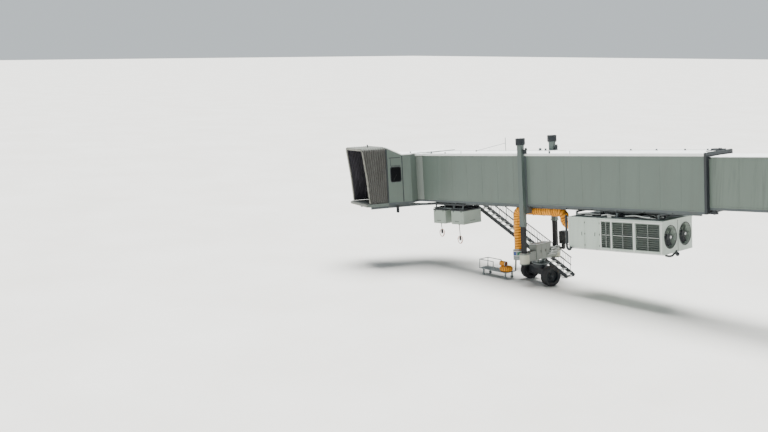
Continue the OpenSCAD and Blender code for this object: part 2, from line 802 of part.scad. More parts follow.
module cab_wall(with_window) {
    color(wall_grey) {
        difference() {
            translate([0, cab_y, 0])
                rotate([90, 0, 0])
                    linear_extrude(cab_wall_t)
                        difference() {
                            cab_side_outline();
                            if (with_window)
                                translate([window_x0, window_z0]) rounded([window_w, window_h], 90);
                        }
            // Seam behind the cab's front panel
            block([-seam_d - 10, cab_y - 12, -1], [-seam_d + 10, cab_y + 1, cab_rear_h + 10]);
            // Shallow recess over the window
            if (with_window)
                block([window_x0 - 10, cab_y - 10, window_z0 + window_h + 130],
                      [window_x0 + window_w + 10, cab_y + 1, window_z0 + window_h + 590]);
        }
        // Radial wall from the side to the round joint, low where the joint's roof runs over it
        difference() {
            translate([-cab_rear, cab_y, 0])
                rotate([0, 0, -post_angle])
                    block([-1, -cab_wall_t, 0],
                          [(cab_rear + cab_y) / sqrt(2) - cab_shell_r - shell_t - 16, 0, cab_rear_h - 1]);
            translate([0, 0, outer_h + 10]) cylinder(h = 400, r = drum_roof_r + 15, $fn = 96);
        }
        // Glass pane
        if (with_window)
            translate([0, cab_y - 25, 0])
                rotate([90, 0, 0])
                    linear_extrude(10)
                        translate([window_x0 - 1, window_z0 - 1]) rounded([window_w + 2, window_h + 2], 90);
    }
}

module cab_wall_far() { in_cab() cab_wall(false); }
module cab_wall_near() { in_cab() mirror([0, 1, 0]) cab_wall(true); }

module cab_curtains() {
    z0 = 15;
    z1 = outer_h - 10;
    // Angle of the tunnel's near corner, seen from the cab's axis
    near_corner = 180 - cab_turn - atan2(outer_y, cab_axis);
    in_cab() color(pale) {
        // Far side, which slides inside the tunnel's curved wall
        arc_wall(cab_shell_r, shell_t, 180 - post_angle - 84, 180 - post_angle, z0 + 5, z1 - 5);
        // Near side, rolled up short
        arc_wall(cab_shell_r, shell_t, 180 + post_angle, 180 + near_corner - 0.3, z0 + 5, z1 - 5);
        // Posts at the cab's rear edges
        for (s = [-1, 1])
            rotate([0, 0, s * post_angle])
                block([-cab_shell_r - shell_t - 14, -40, z0], [-cab_shell_r + 10, 40, z1]);
    }
}

// Canopy: thick folded sides and a top, as plain soft solids

canopy_foot = 20;

module canopy_side() {
    translate([0, cab_y + 40, 0])
        rotate([90, 0, 0])
            linear_extrude(canopy_t)
                polygon([[-cab_len - seat, canopy_foot], [-cab_front, canopy_foot], [-cab_front - 120, canopy_h * 0.45],
                    [-cab_front - canopy_lean, canopy_h - 90], [-cab_len - seat, canopy_h - 90]]);
}

module canopy_far() { in_cab() color(cloth) canopy_side(); }
module canopy_near() { in_cab() color(cloth) mirror([0, 1, 0]) canopy_side(); }

module canopy_top() {
    in_cab() color([0.80, 0.79, 0.74])
        rotate([90, 0, 0])
            translate([0, 0, -cab_y - 40])
                linear_extrude(cab_w + 80)
                    polygon([[-cab_len - seat, canopy_h - 90 + seat], [-cab_front - canopy_lean, canopy_h - 90 + seat],
                        [-cab_front - canopy_lean, canopy_h - 20], [-cab_len - canopy_len * 0.5, canopy_h + 90],
                        [-cab_len - seat, canopy_h + 10]]);
}

// Air-conditioning unit

air_top = -slab_t - air_drop + 120;
air_bottom = air_top - air_h;
air_y = air_w / 2;
fan_z = (air_top + air_bottom) / 2;
fan_y = air_w / 4;
fan_end = air_t + air_len;
fan_well = 420;
skin_t = 30;

module air_unit() {
    shell_d = 8;
    in_outer() color(pale) {
        difference() {
            block([air_t, -air_y, air_bottom], [fan_end, air_y, air_top]);
            for (s = [-1, 1])
                translate([fan_end - fan_well, s * fan_y, fan_z]) rotate([0, 90, 0])
                    cylinder(h = fan_well + 1, d = fan_d, $fn = 64);
            // Hollow inside
            block([air_t + skin_t, -air_y + 150, air_bottom + skin_t], [fan_end - fan_well - skin_t, air_y - 150, air_top - skin_t]);
            // Wells behind the side grilles
            for (p = grille_bays)
                both_sides()
                    block([p[0], air_y - 120, air_bottom + 180], [p[0] + p[1], air_y + 1, air_top - 160]);
            // Joints between the end panels and between the solid doors
            block([fan_end - shell_d, -6, air_bottom - 1], [fan_end + 1, 6, air_top + 1]);
            both_sides()
                for (t = [air_t + 1060, air_t + 2080])
                    block([t - 6, air_y - shell_d, air_bottom - 1], [t + 6, air_y + 1, air_top + 1]);
        }
        // Lid that oversails a little
        difference() {
            block([air_t - 25, -air_y - 25, air_top - 40], [fan_end + 25, air_y + 25, air_top + 25]);
            block([air_t + 10, -air_y + 10, air_top - 41], [fan_end - 10, air_y - 10, air_top - 1]);
        }
    }
}

// Start and width of each grille bay along the unit
grille_bays = [[air_t + 2160, 560], [air_t + 2860, 1240], [air_t + 4300, 1400]];

module air_grilles() {
    pitch = 118;
    in_outer() color(steel)
        both_sides()
            for (p = grille_bays) {
                block([p[0] - 15, air_y + seat, air_bottom + 165], [p[0] + p[1] + 15, air_y + 14, air_bottom + 195]);
                block([p[0] - 15, air_y + seat, air_top - 175], [p[0] + p[1] + 15, air_y + 14, air_top - 145]);
                for (t = [p[0] - 15, p[0] + p[1] / 2 - 15, p[0] + p[1] - 15])
                    block([t, air_y + seat, air_bottom + 166], [t + 30, air_y + 12, air_top - 146]);
                for (z = [air_bottom + 230 : pitch : air_top - 210])
                    translate([p[0] + seat, air_y - 80, z])
                        rotate([-35, 0, 0]) cube([p[1] - 2 * seat, 80, 8]);
            }
}

module air_hanger() {
    post = 90;
    top_z = under_z;
    frame_y = air_y - 260;
    in_outer() color(dark) {
        for (t = [air_t + 350, air_t + air_len / 2, fan_end - 440]) {
            block([t, -frame_y, top_z - post], [t + post, frame_y, top_z]);
            both_sides()
                block([t, frame_y - post, air_top + 25 + seat], [t + post, frame_y, top_z - post + 1]);
        }
        // Crossed braces at the fan end
        for (s = [-1, 1])
            bar([fan_end - 395, s * (frame_y - post), air_top + 70], [fan_end - 395, -s * (frame_y - post), top_z - 60], 40, 12);
        both_sides()
            block([air_t + 350, frame_y - post, air_top + 25 + seat], [fan_end - 350, frame_y, air_top + 95]);
    }
}

module fan() {
    blades = 7;
    hub_r = 150;
    blade_len = fan_d / 2 - 45 - hub_r;
    color(dark) {
        rotate([0, 90, 0]) cylinder(h = 130, r = hub_r, $fn = 48);
        rotate([0, 90, 0]) translate([0, 0, -160]) cylinder(h = 161, r = 40, $fn = 32);
        for (i = [0 : blades - 1])
            rotate([i * 360 / blades, 0, 0])
                translate([65, 0, hub_r - 20])
                    rotate([0, 0, 32])
                        translate([-6, -110, 0])
                            linear_extrude(blade_len + 20) square([12, 220]);
    }
}

fan_x = fan_end - fan_well + 160 + seat;

module fan_far() { in_outer() translate([fan_x, fan_y, fan_z]) fan(); }
module fan_near() { in_outer() translate([fan_x, -fan_y, fan_z]) fan(); }

// Ribbed air hose from the unit's end, along under the tunnel, and down beside the column

hose_x = column_t - 1150;
hose_y = -550;
hose_run_z = -slab_t - rib_h - hose_d / 2 - 10;
hose_end_z = level(1800);
hose_bend = 350;

// A length of hose along +Z whose wall goes out and in once per rib
module hose_length(len) {
    n = round(len / 165);
    p = len / n;
    rotate_extrude($fn = 40)
        polygon([[0, 0], for (i = [0 : n - 1]) each [[hose_d / 2 - 30, i * p], [hose_d / 2, (i + 0.5) * p]],
            [hose_d / 2 - 30, len], [0, len]]);
}

module hose_elbow() {
    rotate_extrude(angle = 90, $fn = 48)
        translate([hose_bend, 0]) circle(d = hose_d - 20, $fn = 32);
}

module air_hose() {
    run_x0 = hose_x + hose_bend;
    run_x1 = air_t - 2 * hose_bend - 560;
    in_outer() color(hose_yellow) {
        // Drop beside the column
        translate([hose_x, hose_y, hose_end_z]) hose_length(hose_run_z - hose_bend - hose_end_z);
        translate([hose_x + hose_bend, hose_y, hose_run_z - hose_bend])
            rotate([90, 0, 0]) rotate([0, 0, 90]) hose_elbow();
        // Run under the tunnel
        translate([run_x0, hose_y, hose_run_z]) rotate([0, 90, 0]) hose_length(run_x1 - run_x0);
        // Swan neck down to the unit's end
        translate([run_x1, hose_y, hose_run_z - hose_bend])
            rotate([90, 0, 0]) hose_elbow();
        translate([run_x1 + 2 * hose_bend, hose_y, hose_run_z - hose_bend])
            rotate([90, 0, 0]) rotate([0, 0, 180]) hose_elbow();
        translate([run_x1 + 2 * hose_bend, hose_y, hose_run_z - 2 * hose_bend])
            rotate([0, 90, 0]) cylinder(h = air_t - run_x1 - 2 * hose_bend - seat, d = hose_d - 20, $fn = 32);
    }
}

// Hoists below the tunnel at the cab end

hoist_y0 = -1050;
hoist_t = [400, 1920];
hoist_top = -640;
hoist_bottom = hoist_top - hoist_h;

module hoist_boxes() {
    in_outer() color(pale)
        for (t = hoist_t) {
            difference() {
                block([t, hoist_y0, hoist_bottom], [t + hoist_len, hoist_y0 + hoist_w, hoist_top]);
                block([t + skin_t, hoist_y0 + skin_t, hoist_bottom + skin_t],
                      [t + hoist_len - skin_t, hoist_y0 + hoist_w - skin_t, hoist_top - skin_t]);
            }
            // Cable gland under the box
            translate([t + 450, hoist_y0 + 200, hoist_bottom - 59]) cylinder(h = 60, d = 110, $fn = 32);
        }
}

module hoist_frame() {
    top_z = under_z;
    in_outer() color(dark) {
        for (t = hoist_t)
            for (x = [t + 150, t + hoist_len - 130]) {
                block([x, hoist_y0 + 60, hoist_top + seat], [x + 70, hoist_y0 + 130, top_z - 69]);
                block([x, hoist_y0 + hoist_w - 130, hoist_top + seat], [x + 70, hoist_y0 + hoist_w - 60, top_z - 69]);
                block([x, hoist_y0 + 60, top_z - 70], [x + 70, 990, top_z]);
            }
        for (y = [hoist_y0 + 60, hoist_y0 + hoist_w - 130])
            block([hoist_t[0] + 150, y, hoist_top + 60], [hoist_t[1] + hoist_len - 60, y + 70, hoist_top + 130]);
    }
}

plug_z = [-1900, -2260];

module hoist_plugs() {
    in_outer() color(rubber)
        for (i = [0, 1])
            translate([hoist_t[i] + 470, hoist_y0 + 215, plug_z[i] - 300]) {
                rotate_extrude($fn = 32)
                    polygon([[0, 0], [48, 0], [62, 40], [62, 190], [40, 260], [34, 299], [0, 299]]);
                // Strap loop by which the plug hangs up
                translate([0, 0, 60]) rotate([90, 0, 20])
                    rotate_extrude($fn = 48) translate([190, 0]) circle(r = 22, $fn = 16);
            }
}

// A tube swept along points, as one closed polyhedron
function sweep_dir(p, i) = let (a = p[max(i - 1, 0)], b = p[min(i + 1, len(p) - 1)]) (b - a) / norm(b - a);
function ring_at(p, i, r, n) =
    let (d = sweep_dir(p, i), u = cross(d, [0.2, 1, 0.1]) / norm(cross(d, [0.2, 1, 0.1])), v = cross(d, u))
    [for (k = [0 : n - 1]) p[i] + r * (cos(k * 360 / n) * u + sin(k * 360 / n) * v)];
module swept_tube(p, r, n = 8) {
    m = len(p);
    polyhedron(
        points = [for (i = [0 : m - 1]) each ring_at(p, i, r, n)],
        faces = concat(
            [[for (k = [0 : n - 1]) k]],
            [for (i = [0 : m - 2], k = [0 : n - 1])
                [i * n + k, (i + 1) * n + k, (i + 1) * n + (k + 1) % n, i * n + (k + 1) % n]],
            [[for (k = [n - 1 : -1 : 0]) (m - 1) * n + k]]));
}

cable_d = 45;

module hoist_cable_front() { in_outer() color(rubber) swept_tube(cable_front, cable_d / 2); }
module hoist_cable_rear() { in_outer() color(rubber) swept_tube(cable_rear, cable_d / 2); }

// Legs and the beam between them, which slide in the columns

foot_bottom = level(tilt_pin_h + 5);
foot_top = level(1950);
foot_d = 560;
bolster_bottom = level(tilt_pin_h + 150);
bolster_top = level(2000);
bolster_half = 230;
cabinet_half = 260;
cabinet_w = 1400;
cabinet_top = level(2350);

module lift_legs() {
    in_outer() color(navy)
        both_sides() at_column()
            block([-leg_a / 2, -leg_b / 2, foot_top - 40], [leg_a / 2, leg_b / 2, -column_drop + leg_nest]);
}

module bolster() {
    ear_r = 85;
    in_outer() {
        color([0.62, 0.62, 0.54])
            both_sides() at_column()
                difference() {
                    translate([0, 0, foot_bottom]) cylinder(h = foot_top - foot_bottom, d = foot_d, $fn = 48);
                    block([-leg_a / 2 - seat, -leg_b / 2 - seat, foot_top - 41], [leg_a / 2 + seat, leg_b / 2 + seat, foot_top + 1]);
                }
        color(steel) {
            block([column_t - bolster_half, -column_y, bolster_bottom],
                  [column_t + bolster_half, column_y, foot_top - 45]);
            block([column_t - bolster_half, -column_y + foot_d / 2, bolster_bottom],
                  [column_t + bolster_half, column_y - foot_d / 2, bolster_top]);
            // Ears that hold the tilt pin
            for (y = [-380, 380 - 80])
                difference() {
                    union() {
                        block([column_t - ear_r, y, tilt_pin_z], [column_t + ear_r, y + 80, bolster_bottom + 1]);
                        translate([column_t, y, tilt_pin_z]) rotate([-90, 0, 0]) cylinder(h = 80, r = ear_r);
                    }
                    translate([column_t, y - 1, tilt_pin_z]) rotate([-90, 0, 0])
                        cylinder(h = 82, r = tilt_pin_d / 2 + fit_gap);
                }
            // Control cabinet round the beam
            difference() {
                block([column_t - cabinet_half, -cabinet_w / 2, bolster_bottom],
                      [column_t + cabinet_half, cabinet_w / 2, cabinet_top]);
                block([column_t + cabinet_half - 30, -200, cabinet_top - 480],
                      [column_t + cabinet_half + 1, 470, cabinet_top - 380]);
            }
        }
    }
}

// Motor box beside the far leg, on an arm from the leg's foot
module motor_box() {
    box_x = column_t + 450;
    in_outer() color(navy) {
        block([box_x, column_y - 250, level(2180)], [box_x + 420, column_y + 200, level(2930)]);
        difference() {
            block([column_t + foot_d / 2 - 40, column_y - 100, foot_top - 120], [box_x + 200, column_y + 100, foot_top - 20]);
            translate([column_t, column_y, foot_top - 200]) cylinder(h = 300, r = foot_d / 2 + seat, $fn = 96);
        }
        block([box_x + 60, column_y - 100, foot_top - 120], [box_x + 200, column_y + 100, level(2180) + 1]);
    }
}

basket_r = hose_d / 2 + 75;
basket_t = 20;
basket_top = level(1950);
basket_bottom = level(1370);

module hose_basket() {
    rim = 15;
    in_outer() color([0.55, 0.57, 0.55]) {
        translate([hose_x, hose_y, basket_bottom])
            rotate_extrude($fn = 64)
                let (h = basket_top - basket_bottom)
                    polygon([[0, 0], [basket_r, 0], [basket_r, h - 20], [basket_r + rim, h - 20], [basket_r + rim, h],
                        [basket_r - basket_t, h], [basket_r - basket_t, 20], [0, 20]]);
        // Bracket to the cabinet
        block([hose_x + basket_r - 12, hose_y - 120, bolster_top - 240],
              [column_t - cabinet_half - seat, hose_y + 150, bolster_top - 180]);
    }
}

// Level turning head on the tilt pin, which carries the hose trolley

module at_bogie() {
    translate([bogie_x, 0, 0]) children();
}

head_bottom = tilt_pin_h - 130;
head_t = 40;
head_top = head_bottom + head_t;
centre_pin_d = 160;

module trunnion() {
    head_r = 520;
    hub_r = 100;
    at_bogie() color(steel) {
        translate([0, 0, head_bottom]) cylinder(h = head_t, r = head_r, $fn = 64);
        difference() {
            union() {
                block([-hub_r, -295, head_bottom + 1], [hub_r, 295, tilt_pin_h]);
                translate([0, -295, tilt_pin_h]) rotate([-90, 0, 0]) cylinder(h = 590, r = hub_r);
            }
            block([-300, -200, head_top + 1], [300, 200, tilt_pin_h + 200]);
        }
        translate([0, -380, tilt_pin_h]) rotate([-90, 0, 0]) cylinder(h = 760, d = tilt_pin_d);
        // Centre pin of the slewing bearing
        translate([0, 0, head_bottom - 200]) cylinder(h = 201, d = centre_pin_d, $fn = 48);
    }
}

trolley_x0 = -3850;
trolley_x1 = -1700;
trolley_y0 = -1090;
trolley_y1 = -250;
deck_z = 430;
trolley_rail_z = 960;

module hose_trolley() {
    tube = 50;
    wheel_r = 90;
    rail_x = trolley_x0 + 1100;
    arm = [-180, -85];
    at_bogie() color([0.50, 0.51, 0.50]) {
        block([trolley_x0, trolley_y0, deck_z - 30], [trolley_x1, trolley_y1, deck_z]);
        // Rail round the free end
        for (x = [trolley_x0 + 30, rail_x], y = [trolley_y0 + 30, trolley_y1 - 30])
            bar([x, y, deck_z - 2], [x, y, trolley_rail_z], tube);
        bar([trolley_x0 + 30, trolley_y0 + 30, trolley_rail_z], [trolley_x0 + 30, trolley_y1 - 30, trolley_rail_z], tube);
        for (y = [trolley_y0 + 30, trolley_y1 - 30])
            bar([trolley_x0 + 30, y, trolley_rail_z], [rail_x, y, trolley_rail_z], tube);
        // Castors
        for (x = [trolley_x0 + 300, trolley_x1 - 150], y = [trolley_y0 + 100, trolley_y1 - 100]) {
            translate([x, y - 25, wheel_r]) rotate([-90, 0, 0]) cylinder(h = 50, r = wheel_r, $fn = 32);
            block([x - 30, y - 45, wheel_r - 20], [x + 30, y - 24, deck_z - 29]);
            block([x - 30, y + 24, wheel_r - 20], [x + 30, y + 45, deck_z - 29]);
        }
        // Drawbar up to the turning head
        block([trolley_x1 - 140, trolley_y1 - 1, deck_z - 30], [trolley_x1 - 20, arm[1], deck_z]);
        block([trolley_x1 - 80, arm[0], deck_z - 1], [trolley_x1 - 20, arm[1], head_top + 50]);
        block([trolley_x1 - 80, arm[0], head_top + seat], [-330, arm[1], head_top + 50]);
    }
}

coupler_x = trolley_x0 + 1800;
coil_r = 250;
coil_tube = 160;

module hose_coupler() {
    coil_top = deck_z + 2 * coil_tube + seat;
    at_bogie() color(hose_yellow) {
        // Stowed end of the hose on the deck, and its aircraft coupler
        translate([coupler_x, (trolley_y0 + trolley_y1) / 2, deck_z + coil_tube + seat])
            rotate_extrude($fn = 64) translate([coil_r, 0]) circle(r = coil_tube, $fn = 32);
        block([coupler_x - 330, trolley_y0 + 90, coil_top + seat], [coupler_x + 90, trolley_y0 + 490, coil_top + 320]);
    }
}

// Steered bogie

axle_d = 120;

module bogie_frame() {
    beam_h = 380;
    beam_z = 540;
    half = track / 2 - tyre_w / 2 - 60;
    at_bogie() rotate([0, 0, steer_angle]) color(dark) {
        difference() {
            union() {
                block([-half, -230, beam_z], [half, 230, beam_z + beam_h]);
                translate([0, 0, beam_z + beam_h - 1])
                    cylinder(h = head_bottom - beam_z - beam_h + 1 - seat, r = 430, $fn = 64);
                // Drive motor housings beside each tyre
                for (s = [-1, 1])
                    translate([s * half, 0, tyre_d / 2]) rotate([0, s * 90, 0])
                        translate([0, 0, -260]) cylinder(h = 300, r = 240, $fn = 48);
            }
            translate([0, 0, head_bottom - 205]) cylinder(h = 220, d = centre_pin_d + 2 * fit_gap, $fn = 48);
        }
        // Axle stubs
        for (s = [-1, 1])
            translate([s * half, 0, tyre_d / 2]) rotate([0, s * 90, 0]) cylinder(h = 60 + tyre_w - 40, d = axle_d, $fn = 48);
    }
}

// Tyre and wheel about the Z axis
module wheel() {
    rim_r = tyre_d * 0.33;
    shoulder = 60;
    difference() {
        union() {
            color(rubber)
                rotate_extrude($fn = 96)
                    union() {
                        translate([rim_r, 20]) square([tyre_d / 2 - shoulder - rim_r, tyre_w - 40]);
                        translate([rim_r + 60, 0]) square([tyre_d / 2 - shoulder - rim_r - 90, tyre_w]);
                        translate([rim_r + 60, shoulder]) square([tyre_d / 2 - rim_r - 60, tyre_w - 2 * shoulder]);
                        for (z = [shoulder, tyre_w - shoulder])
                            translate([tyre_d / 2 - shoulder, z]) circle(r = shoulder, $fn = 32);
                    }
            color(steel)
                rotate_extrude($fn = 64)
                    polygon([[0, 90], [rim_r * 0.55, 90], [rim_r * 0.75, 60], [rim_r + 1, 60],
                        [rim_r + 1, tyre_w - 60], [rim_r - 40, tyre_w - 60], [rim_r - 60, tyre_w - 130],
                        [rim_r * 0.5, tyre_w - 130], [rim_r * 0.45, tyre_w - 60], [0, tyre_w - 60]]);
        }
        translate([0, 0, -1]) cylinder(h = tyre_w + 2, d = axle_d + 2 * fit_gap, $fn = 48);
    }
}

module place_wheel(side) {
    at_bogie() rotate([0, 0, steer_angle])
        translate([side * (track / 2 - tyre_w / 2), 0, tyre_d / 2])
            rotate([0, side * 90, 0]) wheel();
}

module wheel_near() { place_wheel(1); }
module wheel_far() { place_wheel(-1); }

// Service stair, hinged at the landing, with castors on the ground

castor_r = 110;
// Angle of the stair to the ground, and its length from the hinge to the castors' axis
stair_rise = stair_angle - tunnel_slope;
stair_len = (cab_end_z + stair_hinge.x * sin(tunnel_slope) + stair_hinge.y * cos(tunnel_slope) - castor_r) / sin(stair_rise);
stringer_h = 220;
stringer_t = 45;

module in_stair() {
    in_outer() translate([stair_hinge.x, 0, stair_hinge.y]) rotate([0, stair_angle, 0]) children();
}

module stair_flight() {
    rail_h = 950;
    first = 500;
    post_step = (stair_len - 750) / 6;
    // Way up from the stringer to the rail, upright over the ground
    up = [-sin(stair_rise), 0, cos(stair_rise)];
    in_stair() color(steel) {
        for (y = [stair_y0, stair_y1 - stringer_t]) {
            block([0, y, -stringer_h / 2], [stair_len, y + stringer_t, stringer_h / 2]);
            translate([0, y, 0]) rotate([-90, 0, 0]) cylinder(h = stringer_t, d = stringer_h, $fn = 32);
            for (i = [0 : 6])
                let (p = [first + i * post_step, y + stringer_t / 2, 0])
                    bar(p, p + rail_h * up, rail_d - 8, 12);
            for (k = [0.5, 1])
                let (p = [first - 60, y + stringer_t / 2, 0], q = [first + 60 + 6 * post_step, y + stringer_t / 2, 0])
                    bar(p + (k * rail_h - 5) * up, q + (k * rail_h - 5) * up, rail_d, 12);
            // Castor at the foot
            translate([stair_len, y - 10, 0]) rotate([-90, 0, 0]) cylinder(h = stringer_t + 20, r = castor_r, $fn = 48);
        }
        bar([stair_len - 20, stair_y0 + 1, 0], [stair_len - 20, stair_y1 - 1, 0], 60);
        // Hinge pin and the tube round it
        translate([0, stair_y0 - 35, 0]) rotate([-90, 0, 0]) cylinder(h = stair_w + 70, r = hinge_pin_r, $fn = 48);
        translate([0, stair_y0 + 1, 0]) rotate([-90, 0, 0]) cylinder(h = stair_w - 2, r = 45, $fn = 48);
    }
}

module stair_treads() {
    first = 330;
    step = (stair_len - first - 250) / (tread_count - 1);
    depth = 240;
    in_stair() color(pale)
        for (i = [0 : tread_count - 1])
            translate([first + i * step, stair_y0 + stringer_t + seat, 0])
                rotate([0, -stair_rise, 0])
                    block([-depth / 2, 0, -18], [depth / 2, stair_w - 2 * stringer_t - 2 * seat, 18]);
}

base_plate();
pedestal();
rotunda_floor();
rotunda_roof();
rotunda_wall_near();
rotunda_wall_far();
swing_yoke();
swing_portal();
slat_curtain_near();
slat_curtain_far();
inner_floor();
inner_roof();
inner_wall_near();
inner_wall_far();
outer_floor();
outer_roof();
outer_wall_near();
outer_wall_far();
service_door();
mouth_frame();
roof_fittings();
lift_columns();
column_drums();
column_saddle();
stair_landing();
drum_floor();
drum_roof();
drum_shell();
air_unit();
air_grilles();
air_hanger();
fan_near();
fan_far();
air_hose();
hoist_boxes();
hoist_frame();
hoist_plugs();
hoist_cable_front();
hoist_cable_rear();
cab_floor();
cab_roof();
cab_wall_near();
cab_wall_far();
cab_curtains();
canopy_near();
canopy_far();
canopy_top();
lift_legs();
bolster();
motor_box();
hose_basket();
trunnion();
hose_trolley();
hose_coupler();
bogie_frame();
wheel_near();
wheel_far();
stair_flight();
stair_treads();
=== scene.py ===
# %% [markdown]
# # A passenger jet bridge
# The bridge runs from a terminal's round room, the rotunda, through two boxes that slide in each
# other, to a turning cab with a folded canopy. A lift frame on two large tyres carries its far end.
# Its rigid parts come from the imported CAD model. This file gives them their finishes and adds what
# a CAD solid can't show: cloth folds, ribbed hose, tyre tread, wires, guards, bolts and wear.

# %% Load the fixed frame
import json

import bmesh
import bpy
import numpy as np
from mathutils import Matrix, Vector


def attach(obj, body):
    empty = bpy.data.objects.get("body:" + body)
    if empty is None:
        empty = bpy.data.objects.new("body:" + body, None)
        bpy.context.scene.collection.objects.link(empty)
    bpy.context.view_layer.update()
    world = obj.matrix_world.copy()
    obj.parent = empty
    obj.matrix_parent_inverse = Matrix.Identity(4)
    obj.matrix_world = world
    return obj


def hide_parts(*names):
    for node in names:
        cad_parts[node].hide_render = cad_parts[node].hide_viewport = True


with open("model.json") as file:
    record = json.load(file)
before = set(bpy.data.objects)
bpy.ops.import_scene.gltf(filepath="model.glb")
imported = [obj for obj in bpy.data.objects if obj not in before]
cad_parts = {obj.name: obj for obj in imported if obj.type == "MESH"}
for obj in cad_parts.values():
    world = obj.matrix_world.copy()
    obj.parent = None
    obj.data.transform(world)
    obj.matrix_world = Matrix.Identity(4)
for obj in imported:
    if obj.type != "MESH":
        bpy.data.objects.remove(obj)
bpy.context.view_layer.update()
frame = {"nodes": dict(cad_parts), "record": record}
nodes = frame["nodes"]

# %% [markdown]
# ## Camera
# The photograph looks down on the bridge from a window high in the terminal. The camera was found
# by fitting the tunnel's long edges: 14 m up, 9.7 degrees down, with a lens of 46.9 mm. It comes
# first, because the room that hanging cables may take depends on what it sees.

# %% Camera
EYE = Vector((16.97, -47.30, 13.94))
LOOK_ALONG = Vector((-0.7163, 0.6978, 0.0)).normalized()
TILT_DOWN = np.radians(9.7)

camera = bpy.data.objects.new("camera", bpy.data.cameras.new("camera"))
bpy.context.scene.collection.objects.link(camera)
camera.data.lens, camera.data.sensor_width = 46.9, 36.0
camera.data.clip_end = 2000.0
camera.location = EYE
aim = LOOK_ALONG * np.cos(TILT_DOWN) - Vector((0, 0, np.sin(TILT_DOWN)))
camera.rotation_mode = "QUATERNION"
camera.rotation_quaternion = aim.to_track_quat("-Z", "Y")
bpy.context.scene.camera = camera
print("camera at", tuple(camera.location))

# %% [markdown]
# ## Local frames
# The tunnels slope down by 4.4 degrees, the cab is turned by 65 degrees and the wheels by 20. It is
# far easier to work in each part's own straight frame, so each is a 4 by 4 matrix that takes local
# metres to the world. The numbers are the CAD model's own.

# %% Local frames
SLOPE, REACH, PIN_X, PIN_Z = 4.4, 24.2, 2.30, 6.07
COLUMN_T, COLUMN_Y = 7.95, 1.52
OUTER_L, OUTER_Y, CAB_Y, CAB_LEN, CAB_FRONT = 19.3, 1.35, 1.70, 3.39, 4.61
AIR_T, AIR_LEN, AIR_Y, AIR_TOP, AIR_BOTTOM = 11.1, 5.9, 1.5, -0.60, -2.35
CAB_X, CAB_TURN, STAIR_HINGE, STAIR_RISE = -1.0, 65.0, (0.4, 0.0, -0.095), 26.0
BOGIE_X, WHEEL_STEER = -18.231, -20.0


def shift(x, y, z):
    """A move by x, y and z."""
    m = np.eye(4)
    m[:3, 3] = x, y, z
    return m


def turn(axis, degrees):
    """A turn about one axis: the other two axes mix by cosine and sine."""
    c, s = np.cos(np.radians(degrees)), np.sin(np.radians(degrees))
    m = np.eye(4)
    i, j = {"x": (1, 2), "y": (2, 0), "z": (0, 1)}[axis]
    m[i, i], m[j, j], m[i, j], m[j, i] = c, c, -s, s
    return m


WORLD = np.eye(4)
TUNNEL = shift(-PIN_X, 0, PIN_Z) @ turn("y", -SLOPE)
OUTER = TUNNEL @ shift(-REACH, 0, 0)
CAB = OUTER @ shift(CAB_X, 0, 0) @ turn("z", CAB_TURN)
STAIR = OUTER @ shift(*STAIR_HINGE) @ turn("y", STAIR_RISE + SLOPE)
COLUMN = OUTER @ shift(COLUMN_T, 0, 0)
PIN_FLOOR = (OUTER @ [COLUMN_T, 0, 0, 1])[2]
BOGIE = shift(BOGIE_X, 0, 0)
STEERED = BOGIE @ turn("z", WHEEL_STEER)
# A place is a frame and the body that carries what is made in it
on_base, on_swing, on_inner = (WORLD, "base"), (WORLD, "swing"), (TUNNEL, "inner_tunnel")
on_outer, on_column, on_legs = (OUTER, "outer_tunnel"), (COLUMN, "outer_tunnel"), (COLUMN, "legs")
on_unit, on_cab = (OUTER @ shift(AIR_T, 0, 0), "outer_tunnel"), (CAB, "cab")
on_stair, on_head = (STAIR, "stair"), (BOGIE, "head")


def level(height):
    """Height in the tunnels' frame of a level over the ground, at the lift frame."""
    return (height - PIN_FLOOR) / np.cos(np.radians(SLOPE))


print("floor at the lift frame is", round(PIN_FLOOR, 3), "m up")

# %% [markdown]
# ## Mesh helpers
# Most pieces are grids of points: a shape is worked out for whole arrays of two parameters, and the
# faces join neighbours. Boards, rods, swept tubes and turned profiles cover the rest. Each helper
# returns points and faces, so a piece can join many of them before it becomes one object.

# %% Mesh helpers
UNIT = np.array([[0, 0, 0], [1, 0, 0], [1, 1, 0], [0, 1, 0], [0, 0, 1], [1, 0, 1], [1, 1, 1], [0, 1, 1]], float)
SIDES = np.array([[0, 3, 2, 1], [4, 5, 6, 7], [0, 1, 5, 4], [1, 2, 6, 5], [2, 3, 7, 6], [3, 0, 4, 7]])


def circle(count):
    """Angles evenly round a full turn."""
    return np.linspace(0, 2 * np.pi, count, endpoint=False)


def boards(rows):
    """Boxes from rows of low x, y, z and high x, y, z: each corner is low plus a unit corner times the size."""
    rows = np.asarray(rows, float).reshape(-1, 6)
    lo, hi = np.minimum(rows[:, :3], rows[:, 3:]), np.maximum(rows[:, :3], rows[:, 3:])
    points = lo[:, None] + UNIT * (hi - lo)[:, None]
    return points.reshape(-1, 3), (SIDES + 8 * np.arange(len(rows))[:, None, None]).reshape(-1, 4).tolist()


def across(way):
    """Two unit vectors square to each row of way, from cross products with the axis that it least follows."""
    ref = np.where(np.abs(way[:, 2:3]) > 0.9, [[1.0, 0, 0]], [[0.0, 0, 1]])
    u = np.cross(way, ref)
    u /= np.linalg.norm(u, axis=1)[:, None]
    return u, np.cross(way, u)


